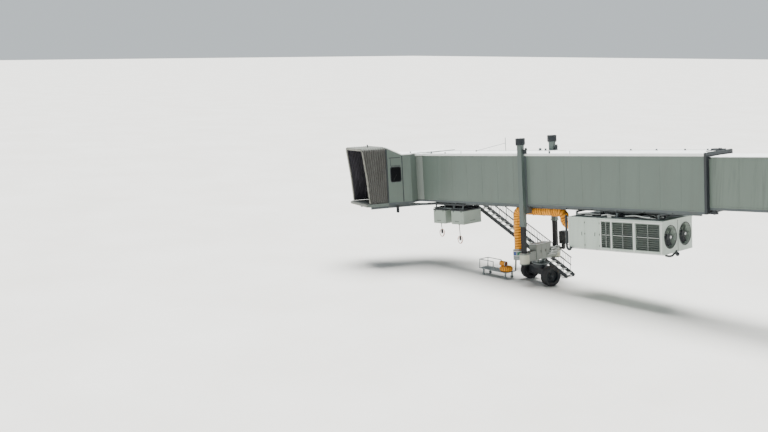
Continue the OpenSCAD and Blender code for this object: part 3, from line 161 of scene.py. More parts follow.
def rods(rows, radius, sides=10):
    """Round bars from rows of two end points: a ring at each end is the centre plus cosine and sine of the angle
    times two vectors across the bar."""
    rows = np.asarray(rows, float).reshape(-1, 6)
    p, q = rows[:, :3], rows[:, 3:]
    way = (q - p) / np.linalg.norm(q - p, axis=1)[:, None]
    u, v = across(way)
    a = circle(sides)
    ring = radius * (np.cos(a)[None, :, None] * u[:, None] + np.sin(a)[None, :, None] * v[:, None])
    points = np.stack([p[:, None] + ring, q[:, None] + ring], 1).reshape(-1, 3)
    k = np.arange(sides)
    quad = np.stack([k, (k + 1) % sides, sides + (k + 1) % sides, sides + k], 1)
    faces = (quad + (2 * sides * np.arange(len(rows)))[:, None, None]).reshape(-1, 4).tolist()
    for n in range(len(rows)):
        faces += [(2 * sides * n + k[::-1]).tolist(), (2 * sides * n + sides + k).tolist()]
    return points, faces

# %% [markdown]
# ## Grids, tubes and turned shapes
# Tubes, bands and turned profiles are all grids: one section repeated along a path or round an
# axis. The same faces fit all of them, wrapped in one or both directions where the grid closes.

# %% Grids, tubes and turned shapes
def grid_faces(rows, columns, wrap_rows=False, wrap_columns=False):
    """Quads that join each grid point with its next row and next column."""
    i = np.arange(rows if wrap_rows else rows - 1)[:, None]
    j = np.arange(columns if wrap_columns else columns - 1)[None]
    i2, j2 = (i + 1) % rows, (j + 1) % columns
    corners = np.stack([i * columns + j, i * columns + j2, i2 * columns + j2, i2 * columns + j], -1)
    return corners.reshape(-1, 4).tolist()


def strip(sections):
    """A closed bar from equal sections, one along the other, with the first and the last as its end faces."""
    sections = np.asarray(sections, float)
    count, sides = sections.shape[:2]
    last = (count - 1) * sides
    ends = [list(range(sides)), list(range(last, last + sides))[::-1]]
    return sections.reshape(-1, 3), grid_faces(count, sides, wrap_columns=True) + ends


def bent(angles, corners):
    """A bar bent round the upright axis: its section's corners are rows of radius and height."""
    c, s = np.cos(angles), np.sin(angles)
    return strip(np.stack([np.stack([r * c, r * s, 0 * angles + h], 1) for r, h in corners], 1))


def sweep(path, radius, sides=12, upright=(0.2, 1.0, 0.1)):
    """A closed tube along a path: ring i is point i plus its radius times cosine and sine of the angle along two
    vectors square to the path there. The radius may differ at each ring and angle."""
    path = np.asarray(path, float)
    way = np.gradient(path, axis=0)
    way /= np.linalg.norm(way, axis=1)[:, None]
    u = np.cross(way, upright)
    u /= np.linalg.norm(u, axis=1)[:, None]
    v = np.cross(way, u)
    a = circle(sides)[None, :, None]
    r = np.broadcast_to(np.asarray(radius, float), (len(path), sides))[..., None]
    return strip(path[:, None] + r * (np.cos(a) * u[:, None] + np.sin(a) * v[:, None]))


def tubes(paths, radii, sides=8, upright=(0.1, 0.2, 1)):
    """Several swept tubes as one part."""
    return joined(*[sweep(path, radius, sides, upright) for path, radius in zip(paths, radii)])


def lathe(profile, steps=48, axis="z", at=(0, 0, 0), ring=False):
    """A turned solid: profile rows of radius and height go round an axis by cosine and sine. A ring's profile is
    closed on itself, and any other is closed by a flat face at each end."""
    profile = np.asarray(profile, float)
    a = circle(steps)[:, None]
    r, h = profile[:, 0][None], profile[:, 1][None] + 0 * a
    c, s = r * np.cos(a), r * np.sin(a)
    points = np.stack({"z": (c, s, h), "x": (h, c, s), "y": (s, h, c)}[axis], -1).reshape(-1, 3) + np.asarray(at, float)
    m = len(profile)
    faces = grid_faces(steps, m, wrap_rows=True, wrap_columns=ring)
    if not ring:
        faces += [[k * m for k in range(steps)][::-1], [k * m + m - 1 for k in range(steps)]]
    return points, faces


def hoop(inner, outer, low, high, cut=0.0, steps=48, axis="z", at=(0, 0, 0)):
    """A turned band between two radii and two heights. The cut slopes its outer edges."""
    return lathe([(inner, low), (outer, low + cut), (outer, high - cut), (inner, high)], steps, axis, at, ring=True)


def prism(outline, low, high, axis="z"):
    """A straight piece with an outline in the two other axes, between two heights along an axis."""
    n = len(outline)
    k = np.arange(n)
    ends = [np.insert(outline, "xyz".index(axis), h, axis=1) for h in (low, high)]
    walls = np.stack([k, (k + 1) % n, n + (k + 1) % n, n + k], 1).tolist()
    return np.vstack(ends), [k[::-1].tolist(), (n + k).tolist()] + walls

# %% [markdown]
# ## From parts to one piece
# A piece is one object with one finish. Its parts are joined, moved to their place and written as
# one mesh, and then it is told which body carries it.

# %% From parts to one piece
def joined(*parts):
    """Several lots of points and faces as one, with each lot's face numbers moved on."""
    points, faces, base = [], [], 0
    for p, f in parts:
        points.append(np.asarray(p, float).reshape(-1, 3))
        faces += [[base + k for k in face] for face in f]
        base += len(points[-1])
    return np.concatenate(points), faces


def placed(part, local):
    """Points taken through a matrix."""
    p = np.asarray(part[0], float)
    return p @ local[:3, :3].T + local[:3, 3], part[1]


def mirrored(part):
    """The mirror image across the tunnels' middle plane, with the faces turned back."""
    return np.asarray(part[0]) * [1, -1, 1], [face[::-1] for face in part[1]]


def both(*parts):
    """Parts and their mirror images."""
    return joined(*parts, *[mirrored(part) for part in parts])


def wall_boards(rows, y):
    """Boards whose y is measured from a wall's face."""
    return placed(boards(rows), shift(0, y, 0))


finishes = {}


def piece(name, part, place, finish, smooth=0, bevel=0.0, shade_and_dirt=None):
    """One object from points and faces at a place. Smooth is the angle under which faces shade as one, and
    shade_and_dirt says how far the cloth finish darkens each point: painted shade deep in the canopy's pleats and the
    hose's valleys, and dirt on the front pad."""
    local, body = place
    material, usual_slot = finishes[finish]
    points, faces = placed(part, local)
    mesh = bpy.data.meshes.new(name)
    mesh.from_pydata(points.tolist(), [], faces)
    if shade_and_dirt is not None:
        mesh.attributes.new("shade_and_dirt", "FLOAT", "POINT").data.foreach_set("value", np.asarray(shade_and_dirt, np.float32).ravel())
    work = bmesh.new()
    work.from_mesh(mesh)
    bmesh.ops.recalc_face_normals(work, faces=work.faces)
    work.to_mesh(mesh)
    work.free()
    if smooth:
        mesh.shade_smooth()
        mesh.set_sharp_from_angle(angle=np.radians(smooth))
    thing = bpy.data.objects.new(name, mesh)
    bpy.context.scene.collection.objects.link(thing)
    if bevel:
        edge = thing.modifiers.new("edges", "BEVEL")
        edge.width, edge.segments, edge.limit_method = bevel, 1, "ANGLE"
    mesh.materials.append(material)
    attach(thing, body)
    print(f"{name} rides on {body} with {len(faces)} faces")
    return thing

# %% [markdown]
# ## Shared shader effects
# Weather makes one coat of paint look like many: rain draws streaks down a wall, dust lies on
# ledges, and edges lose their coat. Each such effect is a node group, built once. It puts out only
# what varies over the surface, and every material feeds it its own values.

# %% Node helpers
def linear(red, green, blue):
    """A screen colour of 0 to 255 as the linear values a shader wants."""
    c = np.array([red, green, blue]) / 255.0
    return (*np.where(c <= 0.04045, c / 12.92, ((c + 0.055) / 1.055) ** 2.4).tolist(), 1.0)


class Tree:
    """Adds nodes to a node tree and links them in few words."""

    def __init__(self, tree):
        self.tree = tree

    def add(self, kind, inputs=None, **settings):
        """A node of a kind, with its settings and its inputs."""
        node = self.tree.nodes.new("ShaderNode" + kind)
        for key, value in settings.items():
            setattr(node, key, value)
        for key, value in (inputs or {}).items():
            self.put(node.inputs[key], value)
        return node

    def put(self, socket, value):
        """Links a socket's output to an input, or gives the input a plain value."""
        if isinstance(value, bpy.types.NodeSocket):
            self.tree.links.new(value, socket)
        else:
            socket.default_value = value

    def math(self, operation, a, b, clamp=False):
        """One sum of two values; clamped, it stays between 0 and 1."""
        node = self.tree.nodes.new("ShaderNodeMath")
        node.operation, node.use_clamp = operation, clamp
        for socket, value in zip(node.inputs, (a, b)):
            self.put(socket, value)
        return node.outputs[0]

    def times(self, a, b, clamp=False):
        """Their product."""
        return self.math("MULTIPLY", a, b, clamp)

    def plus(self, a, b, clamp=False):
        """Their sum."""
        return self.math("ADD", a, b, clamp)

    def minus(self, a, b):
        """Their difference."""
        return self.math("SUBTRACT", a, b)

    def mix(self, share, a, b):
        """The colour that goes from a to b with the share."""
        node = self.tree.nodes.new("ShaderNodeMix")
        node.data_type = "RGBA"
        for key, value in ((0, share), (6, a), (7, b)):
            self.put(node.inputs[key], value)
        return node.outputs[2]

    def noise(self, where, scale, detail=3.0, rough=0.55):
        """Cloudy noise of about 0.5, with so many blotches to a metre."""
        return self.add("TexNoise", {"Vector": where, "Scale": scale, "Detail": detail,
                                     "Roughness": rough}).outputs["Fac"]

    def ramp(self, value, low, high, to_low=0.0, to_high=1.0):
        """A value stretched so that low and high become the two new ends."""
        return self.add("MapRange", {"Value": value, "From Min": low, "From Max": high, "To Min": to_low,
                                     "To Max": to_high}).outputs["Result"]


def group(name, inputs, outputs):
    """A node group with named sockets. Inputs are rows of name, kind and value."""
    made_group = bpy.data.node_groups.new(name, "ShaderNodeTree")
    for label, kind, value in inputs:
        socket = made_group.interface.new_socket(label, in_out="INPUT", socket_type="NodeSocket" + kind)
        socket.default_value = value
    for label, kind in outputs:
        made_group.interface.new_socket(label, in_out="OUTPUT", socket_type="NodeSocket" + kind)
    t = Tree(made_group)
    return made_group, t, made_group.nodes.new("NodeGroupInput"), made_group.nodes.new("NodeGroupOutput")

# %% Weathered coat group
# Colour is the coat, times a broad mottle, mixed towards grime by streaks that are long in height and narrow along
# the wall, and towards bare primer where a rounded normal leaves the true one, which happens at edges.
weather, t, gi, go = group(
    "weathered coat",
    [("Coat", "Color", (0.5, 0.5, 0.5, 1)), ("Grime", "Color", (0.1, 0.09, 0.08, 1)),
     ("Primer", "Color", (0.3, 0.28, 0.26, 1)), ("Streaks", "Float", 0.3), ("Mottle", "Float", 0.1),
     ("Wear", "Float", 0.3), ("Dust", "Float", 0.2), ("Panel", "Float", 0.0), ("Gloss", "Float", 0.5)],
    [("Color", "Color"), ("Roughness", "Float"), ("Height", "Float"), ("Normal", "Vector")])
where = t.add("TexCoord").outputs["Object"]
stretched = t.add("Mapping", {"Vector": where, "Scale": (2.6, 2.6, 0.22)}).outputs["Vector"]
fine_stretch = t.add("Mapping", {"Vector": where, "Scale": (11.0, 11.0, 0.5)}).outputs["Vector"]
wide = t.noise(where, 0.45, 4.0)
long_streak = t.ramp(t.noise(stretched, 1.0, 5.0, 0.62), 0.47, 0.72)
streak = t.times(long_streak, t.ramp(t.noise(fine_stretch, 1.0, 4.0), 0.35, 0.65))
per_panel = t.add("Mapping", {"Vector": where, "Scale": (1.65, 0.01, 0.01)}).outputs["Vector"]
panel = t.add("TexVoronoi", {"Vector": per_panel, "Scale": 1.0, "Randomness": 0.12}, voronoi_dimensions="3D",
              feature="F1").outputs["Color"]
tone = t.plus(1.0, t.times(t.minus(wide, 0.5), gi.outputs["Mottle"]))
off_tone = t.minus(t.add("SeparateColor", {"Color": panel}).outputs[0], 0.5)
tone = t.plus(tone, t.times(off_tone, gi.outputs["Panel"]))
coat = t.add("HueSaturation", {"Color": gi.outputs["Coat"], "Value": tone}).outputs["Color"]
geometry = t.add("NewGeometry")
rounded = t.add("Bevel", {"Radius": 0.012}, samples=4)
edge = t.add("VectorMath", {0: rounded.outputs["Normal"], 1: geometry.outputs["Normal"]},
             operation="DOT_PRODUCT").outputs["Value"]
speckle = t.noise(where, 9.0, 5.0, 0.7)
bare = t.times(t.ramp(edge, 0.99, 0.90), t.ramp(speckle, 0.45, 0.62))
worn = t.times(bare, gi.outputs["Wear"], clamp=True)
facing_up = t.add("SeparateXYZ", {"Vector": geometry.outputs["Normal"]}).outputs["Z"]
ledge = t.times(t.ramp(facing_up, 0.5, 1.0), t.ramp(t.noise(where, 1.6, 6.0, 0.65), 0.35, 0.7))
settled = t.times(ledge, gi.outputs["Dust"])
dirty = t.plus(t.times(streak, gi.outputs["Streaks"]), settled, clamp=True)
colour = t.mix(dirty, coat, gi.outputs["Grime"])
t.put(go.inputs["Color"], t.mix(worn, colour, gi.outputs["Primer"]))
rough = t.plus(gi.outputs["Gloss"], t.times(t.plus(dirty, worn), 0.35), clamp=True)
t.put(go.inputs["Roughness"], t.plus(rough, t.times(t.minus(speckle, 0.5), 0.12), clamp=True))
grain = t.times(t.noise(where, 45.0, 2.0), 0.25)
t.put(go.inputs["Height"], t.minus(grain, t.times(worn, 0.6)))
t.put(go.inputs["Normal"], rounded.outputs["Normal"])
print("group", weather.name, "with", len(weather.nodes), "nodes")

# %% Cloth group
# A coated cloth: two fine sets of threads, blotches of old rain, and a darker colour where the shade_and_dirt attribute
# is high. That darkening is painted shade in the canopy's pleats and the hose's valleys, and dirt on the front pad.
cloth, t, gi, go = group(
    "coated cloth",
    [("Cloth", "Color", (0.2, 0.2, 0.2, 1)), ("Stain", "Color", (0.05, 0.05, 0.05, 1)),
     ("Stains", "Float", 0.5), ("Depth", "Float", 0.6)],
    [("Color", "Color"), ("Roughness", "Float"), ("Height", "Float")])
where = t.add("TexCoord").outputs["Object"]
shade_and_dirt = t.add("Attribute", attribute_name="shade_and_dirt").outputs["Fac"]
run_down = t.add("Mapping", {"Vector": where, "Scale": (1.6, 1.6, 0.5)}).outputs["Vector"]
blotch = t.ramp(t.noise(run_down, 1.3, 6.0, 0.65), 0.38, 0.68)
speck = t.ramp(t.noise(where, 14.0, 5.0, 0.75), 0.42, 0.62)
thread = t.times(*[t.add("TexWave", {"Vector": where, "Scale": 95.0}, bands_direction=way).outputs["Fac"]
                   for way in ("Z", "DIAGONAL")])
stained = t.plus(t.times(blotch, 0.7), t.times(speck, 0.45))
soiled = t.times(stained, gi.outputs["Stains"])
# Painted shade: deep pleats and hose valleys darken towards the same colour as the stains, and so does the pad's dirt
soiled = t.plus(soiled, t.times(shade_and_dirt, gi.outputs["Depth"]), clamp=True)
t.put(go.inputs["Color"], t.mix(soiled, gi.outputs["Cloth"], gi.outputs["Stain"]))
t.put(go.inputs["Roughness"], t.ramp(blotch, 0.0, 1.0, 0.62, 0.85))
t.put(go.inputs["Height"], t.plus(t.times(thread, 0.5), t.times(speck, 0.3)))

# %% [markdown]
# ## Finishes
# Every finish is a Principled shader whose colour, roughness and bump come from a group. The values
# are read off the object: the walls are a grey green, the roof nearly white under dust, the lift
# legs a blue black, and the underframe dark with road film.

# %% Finishes
GRIME, PRIMER = (84, 78, 70), (120, 112, 104)


def finish(name, effect, colour, slot, bump, depth, shine, metallic=0.0, sheen=0.0, **values):
    """A Principled material whose colour, roughness and normal come from an effect's node group."""
    material = bpy.data.materials.new(name)
    material.use_nodes = True
    t = Tree(material.node_tree)
    g = t.add("Group", values, node_tree=effect)
    raised = t.add("Bump", {"Strength": bump, "Distance": depth, "Height": g.outputs["Height"]})
    if "Normal" in g.outputs:
        t.put(raised.inputs["Normal"], g.outputs["Normal"])
    shader = material.node_tree.nodes["Principled BSDF"]
    for key, value in {"Base Color": g.outputs["Color"], "Roughness": g.outputs["Roughness"],
                       "Normal": raised.outputs["Normal"], "Metallic": metallic, "Sheen Weight": sheen,
                       "Specular IOR Level": shine}.items():
        t.put(shader.inputs[key], value)
    material.diffuse_color = colour
    finishes[name] = material, slot


# Each coat: screen colour, Streaks, Mottle, Wear, Dust, Gloss, the slot it fills and what else it differs in
COATS = {
    "wall_coat": ((92, 104, 97), 0.20, 0.16, 0.35, 0.2, 0.42, "wall_paint", {"panel": 0.07}),
    "inner_coat": ((97, 109, 101), 0.42, 0.16, 0.35, 0.2, 0.42, "wall_paint", {"panel": 0.07, "grime": (52, 56, 50)}),
    "column_coat": ((80, 92, 88), 0.25, 0.12, 0.5, 0.2, 0.40, "wall_paint", {}),
    "pale_coat": ((178, 190, 180), 0.22, 0.12, 0.4, 0.3, 0.42, "pale_paint", {}),
    "hoist_coat": ((150, 162, 152), 0.22, 0.12, 0.4, 0.3, 0.42, "pale_paint", {}),
    "slat_coat": ((116, 124, 118), 0.35, 0.14, 0.5, 0.3, 0.45, "pale_paint", {}),
    "tube_coat": ((205, 208, 204), 0.3, 0.2, 0.6, 0.2, 0.40, "pale_paint", {}),
    "roof_coat": ((243, 246, 243), 0.12, 0.10, 0.2, 0.35, 0.50, "roof_paint", {"grime": (150, 148, 138)}),
    "under_coat": ((74, 82, 84), 0.4, 0.3, 0.6, 0.6, 0.50, "steel_paint", {"grime": (92, 88, 80)}),
    "steel_coat": ((122, 130, 130), 0.35, 0.25, 0.6, 0.4, 0.42, "steel_paint", {"metallic": 0.35}),
    "cabinet_coat": ((114, 119, 113), 0.3, 0.2, 0.5, 0.2, 0.45, "steel_paint", {}),
    "beige_coat": ((176, 176, 158), 0.35, 0.2, 0.6, 0.3, 0.45, "steel_paint", {}),
    "zinc_coat": ((168, 172, 170), 0.3, 0.3, 0.5, 0.3, 0.35, "steel_paint", {"metallic": 0.6}),
    "grille_coat": ((98, 107, 102), 0.3, 0.2, 0.4, 0.3, 0.50, "steel_paint", {"metallic": 0.3}),
    "navy_coat": ((9, 19, 26), 0.2, 0.3, 0.25, 0.15, 0.50, "navy_paint", {"grime": (50, 52, 50)}),
    "leg_coat": ((3, 4, 9), 0.15, 0.2, 0.1, 0.0, 0.62, "navy_paint", {"grime": (20, 20, 22), "primer": (30, 30, 34)}),
    "blue_coat": ((36, 62, 128), 0.3, 0.2, 0.5, 0.3, 0.40, "navy_paint", {}),
    "green_coat": ((34, 96, 72), 0.3, 0.2, 0.5, 0.3, 0.40, "navy_paint", {}),
    "dark_coat": ((40, 45, 49), 0.3, 0.3, 0.4, 0.4, 0.55, "dark_paint", {"grime": (70, 68, 62)}),
    "dark_glass": ((2, 3, 7), 0.1, 0.05, 0.0, 0.0, 0.30, "dark_paint", {"grime": (30, 32, 32), "shine": 0.08}),
    "rubber_coat": ((34, 36, 40), 0.25, 0.4, 0.15, 0.5, 0.72, "rubber_seal", {"grime": (96, 92, 84)}),
    "pad_rubber": ((112, 114, 108), 0.3, 0.3, 0.3, 0.3, 0.65, "rubber_seal", {"grime": (96, 92, 84)}),
    "orange_coat": ((190, 96, 48), 0.3, 0.3, 0.6, 0.2, 0.50, "rubber_seal", {}),
}
for name, (screen, streaks, mottle, wear, dust, gloss, slot, more) in COATS.items():
    coat = linear(*screen)
    finish(name, weather, coat, slot, 0.15, 0.01, more.get("shine", 0.4), more.get("metallic", 0.0), Coat=coat,
           Grime=linear(*more.get("grime", GRIME)), Primer=linear(*more.get("primer", PRIMER)), Streaks=streaks,
           Mottle=mottle, Wear=wear, Dust=dust, Gloss=gloss, Panel=more.get("panel", 0.0))
# Each cloth: its colour, the colour of its stains and of its painted shade, how stained it is, how far the
# shade_and_dirt attribute darkens it, and its slot
CLOTHS = {
    "canopy_cloth": ((81, 81, 78), (54, 51, 48), 0.45, 0.35, "canopy_fabric"),
    "canopy_roof_cloth": ((114, 118, 112), (76, 76, 70), 0.6, 0.5, "canopy_fabric"),
    # The lining's very dark second colour is painted shade deep in its gathers, and is also the colour of its stains
    "drape_cloth": ((84, 82, 88), (28, 27, 36), 0.4, 0.8, "canopy_fabric"),
    "pad_cloth": ((138, 139, 131), (84, 81, 75), 0.5, 0.4, "canopy_fabric"),
    # The hose's colour is as bright as a highlight on its ribs, and its darker colour is painted shade for the valleys
    # between them
    "hose_cloth": ((255, 172, 46), (122, 62, 14), 0.25, 0.8, "hose_fabric"),
}
for name, (screen, stain_and_shade, stains, depth, slot) in CLOTHS.items():
    colour = linear(*screen)
    finish(name, cloth, colour, slot, 0.35, 0.004, 0.25, sheen=0.1, Cloth=colour, Stain=linear(*stain_and_shade),
           Stains=stains, Depth=depth)
print(len(finishes), "finishes")

# %% [markdown]
# ## The CAD nodes get their finishes
# A CAD node whose shape is right stays as it is and only gets a better material. The table below
# says which coat each one wears. Nodes that are cloth, rubber or hose are replaced further down.

# %% Finishes of the CAD nodes
WEARS = {
    "wall_coat": "rotunda_wall_near rotunda_wall_far swing_portal outer_wall_near outer_wall_far"
               " cab_wall_near cab_wall_far drum_shell",
    "inner_coat": "inner_wall_near inner_wall_far",
    "column_coat": "lift_columns pedestal",
    "roof_coat": "rotunda_roof inner_roof outer_roof drum_roof cab_roof",
    "pale_coat": "service_door air_unit",
    "hoist_coat": "hoist_boxes",
    "under_coat": "inner_floor outer_floor drum_floor cab_floor air_hanger hoist_frame column_saddle",
    "dark_coat": "mouth_frame bogie_frame stair_landing stair_flight fan_near fan_far hoist_plugs",
    "steel_coat": "base_plate rotunda_floor swing_yoke trunnion hose_trolley roof_fittings hose_basket",
    "navy_coat": "column_drums",
    "leg_coat": "lift_legs motor_box",
    "cabinet_coat": "bolster stair_treads",
    "grille_coat": "air_grilles",
    "slat_coat": "slat_curtain_near slat_curtain_far cab_curtains",
    "rubber_coat": "wheel_near wheel_far hoist_cable_front hoist_cable_rear",
    "canopy_cloth": "canopy_near canopy_far",
    "canopy_roof_cloth": "canopy_top",
    "hose_cloth": "air_hose",
}
for wears, names in WEARS.items():
    for name in names.split():
        nodes[name].data.materials.clear()
        nodes[name].data.materials.append(finishes[wears][0])
print("finished nodes:", sum(len(names.split()) for names in WEARS.values()), "of", len(nodes))

# %% [markdown]
# ## Hoist cables
# Two lifting winches hang below the cab's end of the tunnel, and each pays out a thick ground
# power cable with a plug. The cable is a tube swept along points, straight out of its gland and
# down to the plug. The route's points are the CAD model's own.

# %% Hoist cables and plugs
HOIST_T, HOIST_Y, HOIST_W, HOIST_LEN, HOIST_TOP = (0.40, 1.92), -1.05, 1.66, 1.02, -0.64
CABLE_D, IN_PLUG, PLUG_LEN = 0.045, 0.17, 0.30
CABLE_ROUTES = {
    "front": [(0.850, -0.850, -1.580), (0.850, -0.850, -1.645), (0.854, -0.847, -1.710), (0.862, -0.841, -1.780),
              (0.870, -0.835, -1.850), (0.870, -0.835, -1.900)],
    "rear": [(2.370, -0.850, -1.580), (2.370, -0.850, -1.700), (2.374, -0.847, -1.830), (2.382, -0.841, -1.980),
             (2.390, -0.835, -2.130), (2.390, -0.835, -2.260)],
}
# A moulded plug: a rubber boot with grip rings and a wider body, and a collar round it
h = np.linspace(0, PLUG_LEN, 40)
r = np.interp(h, [0, 0.03, 0.06, 0.19, 0.25, 0.30], [0.050, 0.062, 0.064, 0.062, 0.042, 0.030])
r = r + 0.004 * (np.sin(h * 260) > 0.3) * (h > 0.19)
COLLAR = [(0.070, 0.0), (0.074, 0.01), (0.074, 0.045), (0.070, 0.055)]
# A hanging strap, doubled: an egg shaped loop, narrower below
a = np.linspace(0, 2 * np.pi, 73)
loop_x = 0.165 * np.sin(a) * (1 - 0.18 * np.cos(a))
loop = np.stack([loop_x * 0.94, loop_x * 0.30, -0.235 * np.cos(a) - 0.20], 1)
for side, points in CABLE_ROUTES.items():
    foot = np.array(points[-1])
    route = np.vstack([points, foot - [0, 0, IN_PLUG]])
    along = np.linspace(0, 6, 31)
    smooth_route = np.stack([np.interp(along, np.arange(7), route[:, k]) for k in range(3)], 1)
    boot = lathe(np.stack([r, h], 1), 28, at=foot - [0, 0, PLUG_LEN])
    collar = lathe(COLLAR, 28, at=foot - [0, 0, 0.155])
    plug = piece(f"hoist_plug_{side}", joined(boot, collar), on_outer, "dark_coat", smooth=40)
    wide_loop = sweep(loop[:-1] + foot - [0, 0, 0.06], 0.019, 10)
    small_loop = sweep(loop[6:-8] * 0.78 + foot - [0.01, 0.02, 0.14], 0.013, 8)
    strap = piece(f"hoist_strap_{side}", joined(wide_loop, small_loop), on_outer, "orange_coat", smooth=50)
    for thing in (plug, strap):
        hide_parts("hoist_plugs")
    cable = piece(f"hoist_cord_{side}", sweep(smooth_route, CABLE_D / 2, 12), on_outer, "rubber_coat", smooth=50)
    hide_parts("hoist_cable_" + side)

# %% [markdown]
# ## Tyres and wheels
# Each tyre is a profile turned round the axle: bead, bulged sidewall, round shoulder and tread. The
# tread is cut into that surface by lowering the radius where a groove runs, which is a product of
# two smooth steps, one across the tyre and one round it.

# %% Tyres and wheels
TYRE_R, TRACK_HALF, TYRE_STEPS = 0.60, 1.10, 264
HALF_TYRE = np.array([(-0.150, 0.400), (-0.175, 0.405), (-0.196, 0.440), (-0.208, 0.490), (-0.205, 0.540),
                      (-0.190, 0.575), (-0.165, 0.592), (-0.120, 0.598), (-0.108, 0.598), (-0.092, 0.599),
                      (-0.080, 0.600), (-0.014, 0.600), (-0.006, 0.600)])
INSIDE = [(0.140, 0.392), (0.0, 0.388), (-0.140, 0.392)]
GROOVED = (8, 9, 12, 13, 16, 17)
RIM = np.array([(0.398, -0.165), (0.412, -0.165), (0.412, -0.150), (0.394, -0.140), (0.394, 0.140),
                (0.412, 0.150), (0.412, 0.165), (0.385, 0.165), (0.376, 0.120), (0.372, -0.120)])
DISH = np.array([(0.378, 0.020), (0.378, 0.036), (0.300, 0.052), (0.250, 0.040), (0.205, 0.048), (0.140, 0.080),
                 (0.125, 0.130), (0.070, 0.150), (0.001, 0.152), (0.001, 0.02)])


def tyre():
    """The section's width and radius go round the axle by sine and cosine. Grooves lower the radius by 14 mm on three
    circles and, at the shoulders, by 12 mm on 44 bars round the tyre."""
    section = np.vstack([HALF_TYRE, HALF_TYRE[::-1] * [-1, 1], INSIDE])
    a = circle(TYRE_STEPS)[:, None]
    w, r = section[:, 0][None] + 0 * a, section[:, 1][None] + 0 * a
    circles = np.isin(np.arange(len(section)), GROOVED)[None]
    bars = (np.mod(np.arange(TYRE_STEPS), 6) < 2)[:, None] & (np.abs(w) > 0.115) & (r > 0.57)
    r = r - 0.014 * circles - 0.012 * bars
    points = np.stack([w, r * np.cos(a), r * np.sin(a)], -1).reshape(-1, 3)
    return points, grid_faces(TYRE_STEPS, len(section), wrap_rows=True, wrap_columns=True)


def wheel_disc(side):
    """The rim, its dish and hub as turned profiles about the axle, outwards to the given side, and a ring of nuts."""
    a = circle(10)
    at = np.stack([0 * a, 0.175 * np.cos(a), 0.175 * np.sin(a)], 1)
    nuts = rods(np.hstack([at + [0.045 * side, 0, 0], at + [0.085 * side, 0, 0]]), 0.017, 6)
    return joined(lathe(RIM * [1, side], 64, "x", ring=True), lathe(DISH * [1, side], 64, "x"), nuts)


for name, side in (("near", 1), ("far", -1)):
    node = "wheel_" + name
    body = next(b for b, members in frame["record"]["behaviour"]["bodies"].items() if node in members)
    place = (STEERED @ shift(side * TRACK_HALF, 0, TYRE_R), body)
    rubber = piece(f"tyre_{name}", tyre(), place, "rubber_coat", smooth=35)
    disc = piece(f"wheel_disc_{name}", wheel_disc(side), place, "navy_coat", smooth=35)
    for thing in (rubber, disc):
        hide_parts(node)
print("tyre has", len(rubber.data.polygons), "faces")

# %% [markdown]
# ## The ribbed air hose
# Conditioned air goes to the aircraft through a fat yellow hose whose cloth is held open by a wire
# helix. Its route leaves the air unit, runs below the floor and drops beside the near column into a
# basket. The cloth swells between the turns of the wire, so the radius is a function of length and
# angle together, which makes the rib climb round the hose. An attribute marks the valleys, where
# the cloth is darkened as painted shade, and the cloth's own colour is as bright as the lit ribs, a painted highlight.

# %% Ribbed air hose
HOSE_R, HOSE_Y, HOSE_X, HOSE_RUN_Z, HOSE_BEND, HOSE_PITCH = 0.28, -0.55, 6.80, -0.47, 0.35, 0.165
POINT_STEP, UNIT_GAP = 0.0165, 0.56


def quarter(centre, start, end):
    """Points on a quarter circle in length and height: centre plus radius times cosine and sine."""
    a = np.radians(np.linspace(start, end, 10))
    return np.stack([centre[0] + HOSE_BEND * np.cos(a), 0 * a + HOSE_Y, centre[1] + HOSE_BEND * np.sin(a)], 1)


def resampled(path, step):
    """A path with points at even steps along its length, by linear interpolation over the distance gone."""
    gone = np.concatenate([[0], np.cumsum(np.linalg.norm(np.diff(path, axis=0), axis=1))])
    s = np.linspace(0, gone[-1], int(round(gone[-1] / step)) + 1)
    return np.stack([np.interp(s, gone, path[:, k]) for k in range(3)], 1), s


run_start = HOSE_X + HOSE_BEND
run_end = AIR_T - 2 * HOSE_BEND - UNIT_GAP
hose_path = np.concatenate([
    [(HOSE_X, HOSE_Y, level(1.80))],
    quarter((HOSE_X + HOSE_BEND, HOSE_RUN_Z - HOSE_BEND), 180, 90),
    quarter((run_end, HOSE_RUN_Z - HOSE_BEND), 90, 0),
    quarter((run_end + 2 * HOSE_BEND, HOSE_RUN_Z - HOSE_BEND), 180, 270),
    [(AIR_T - 0.001, HOSE_Y, HOSE_RUN_Z - 2 * HOSE_BEND)]])
hose_path, gone = resampled(hose_path, POINT_STEP)
around = circle(32)[None]
phase = gone[:, None] / HOSE_PITCH - around / (2 * np.pi)
swell = np.abs(np.sin(np.pi * phase)) ** 0.55
ripple = 0.004 * np.sin(gone[:, None] * 5.1 + 2 * around) + 0.003 * np.sin(gone[:, None] * 13.0 - around)
hose_radius = HOSE_R - 0.036 + 0.030 * swell + ripple * swell
# Painted shade: the valleys between the ribs darken towards the hose's darker colour
hose = piece("air_hose_cloth", sweep(hose_path, hose_radius, 32), on_outer, "hose_cloth", smooth=70,
             shade_and_dirt=np.clip(1.35 * (1 - swell) ** 0.9, 0, 1))
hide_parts("air_hose")
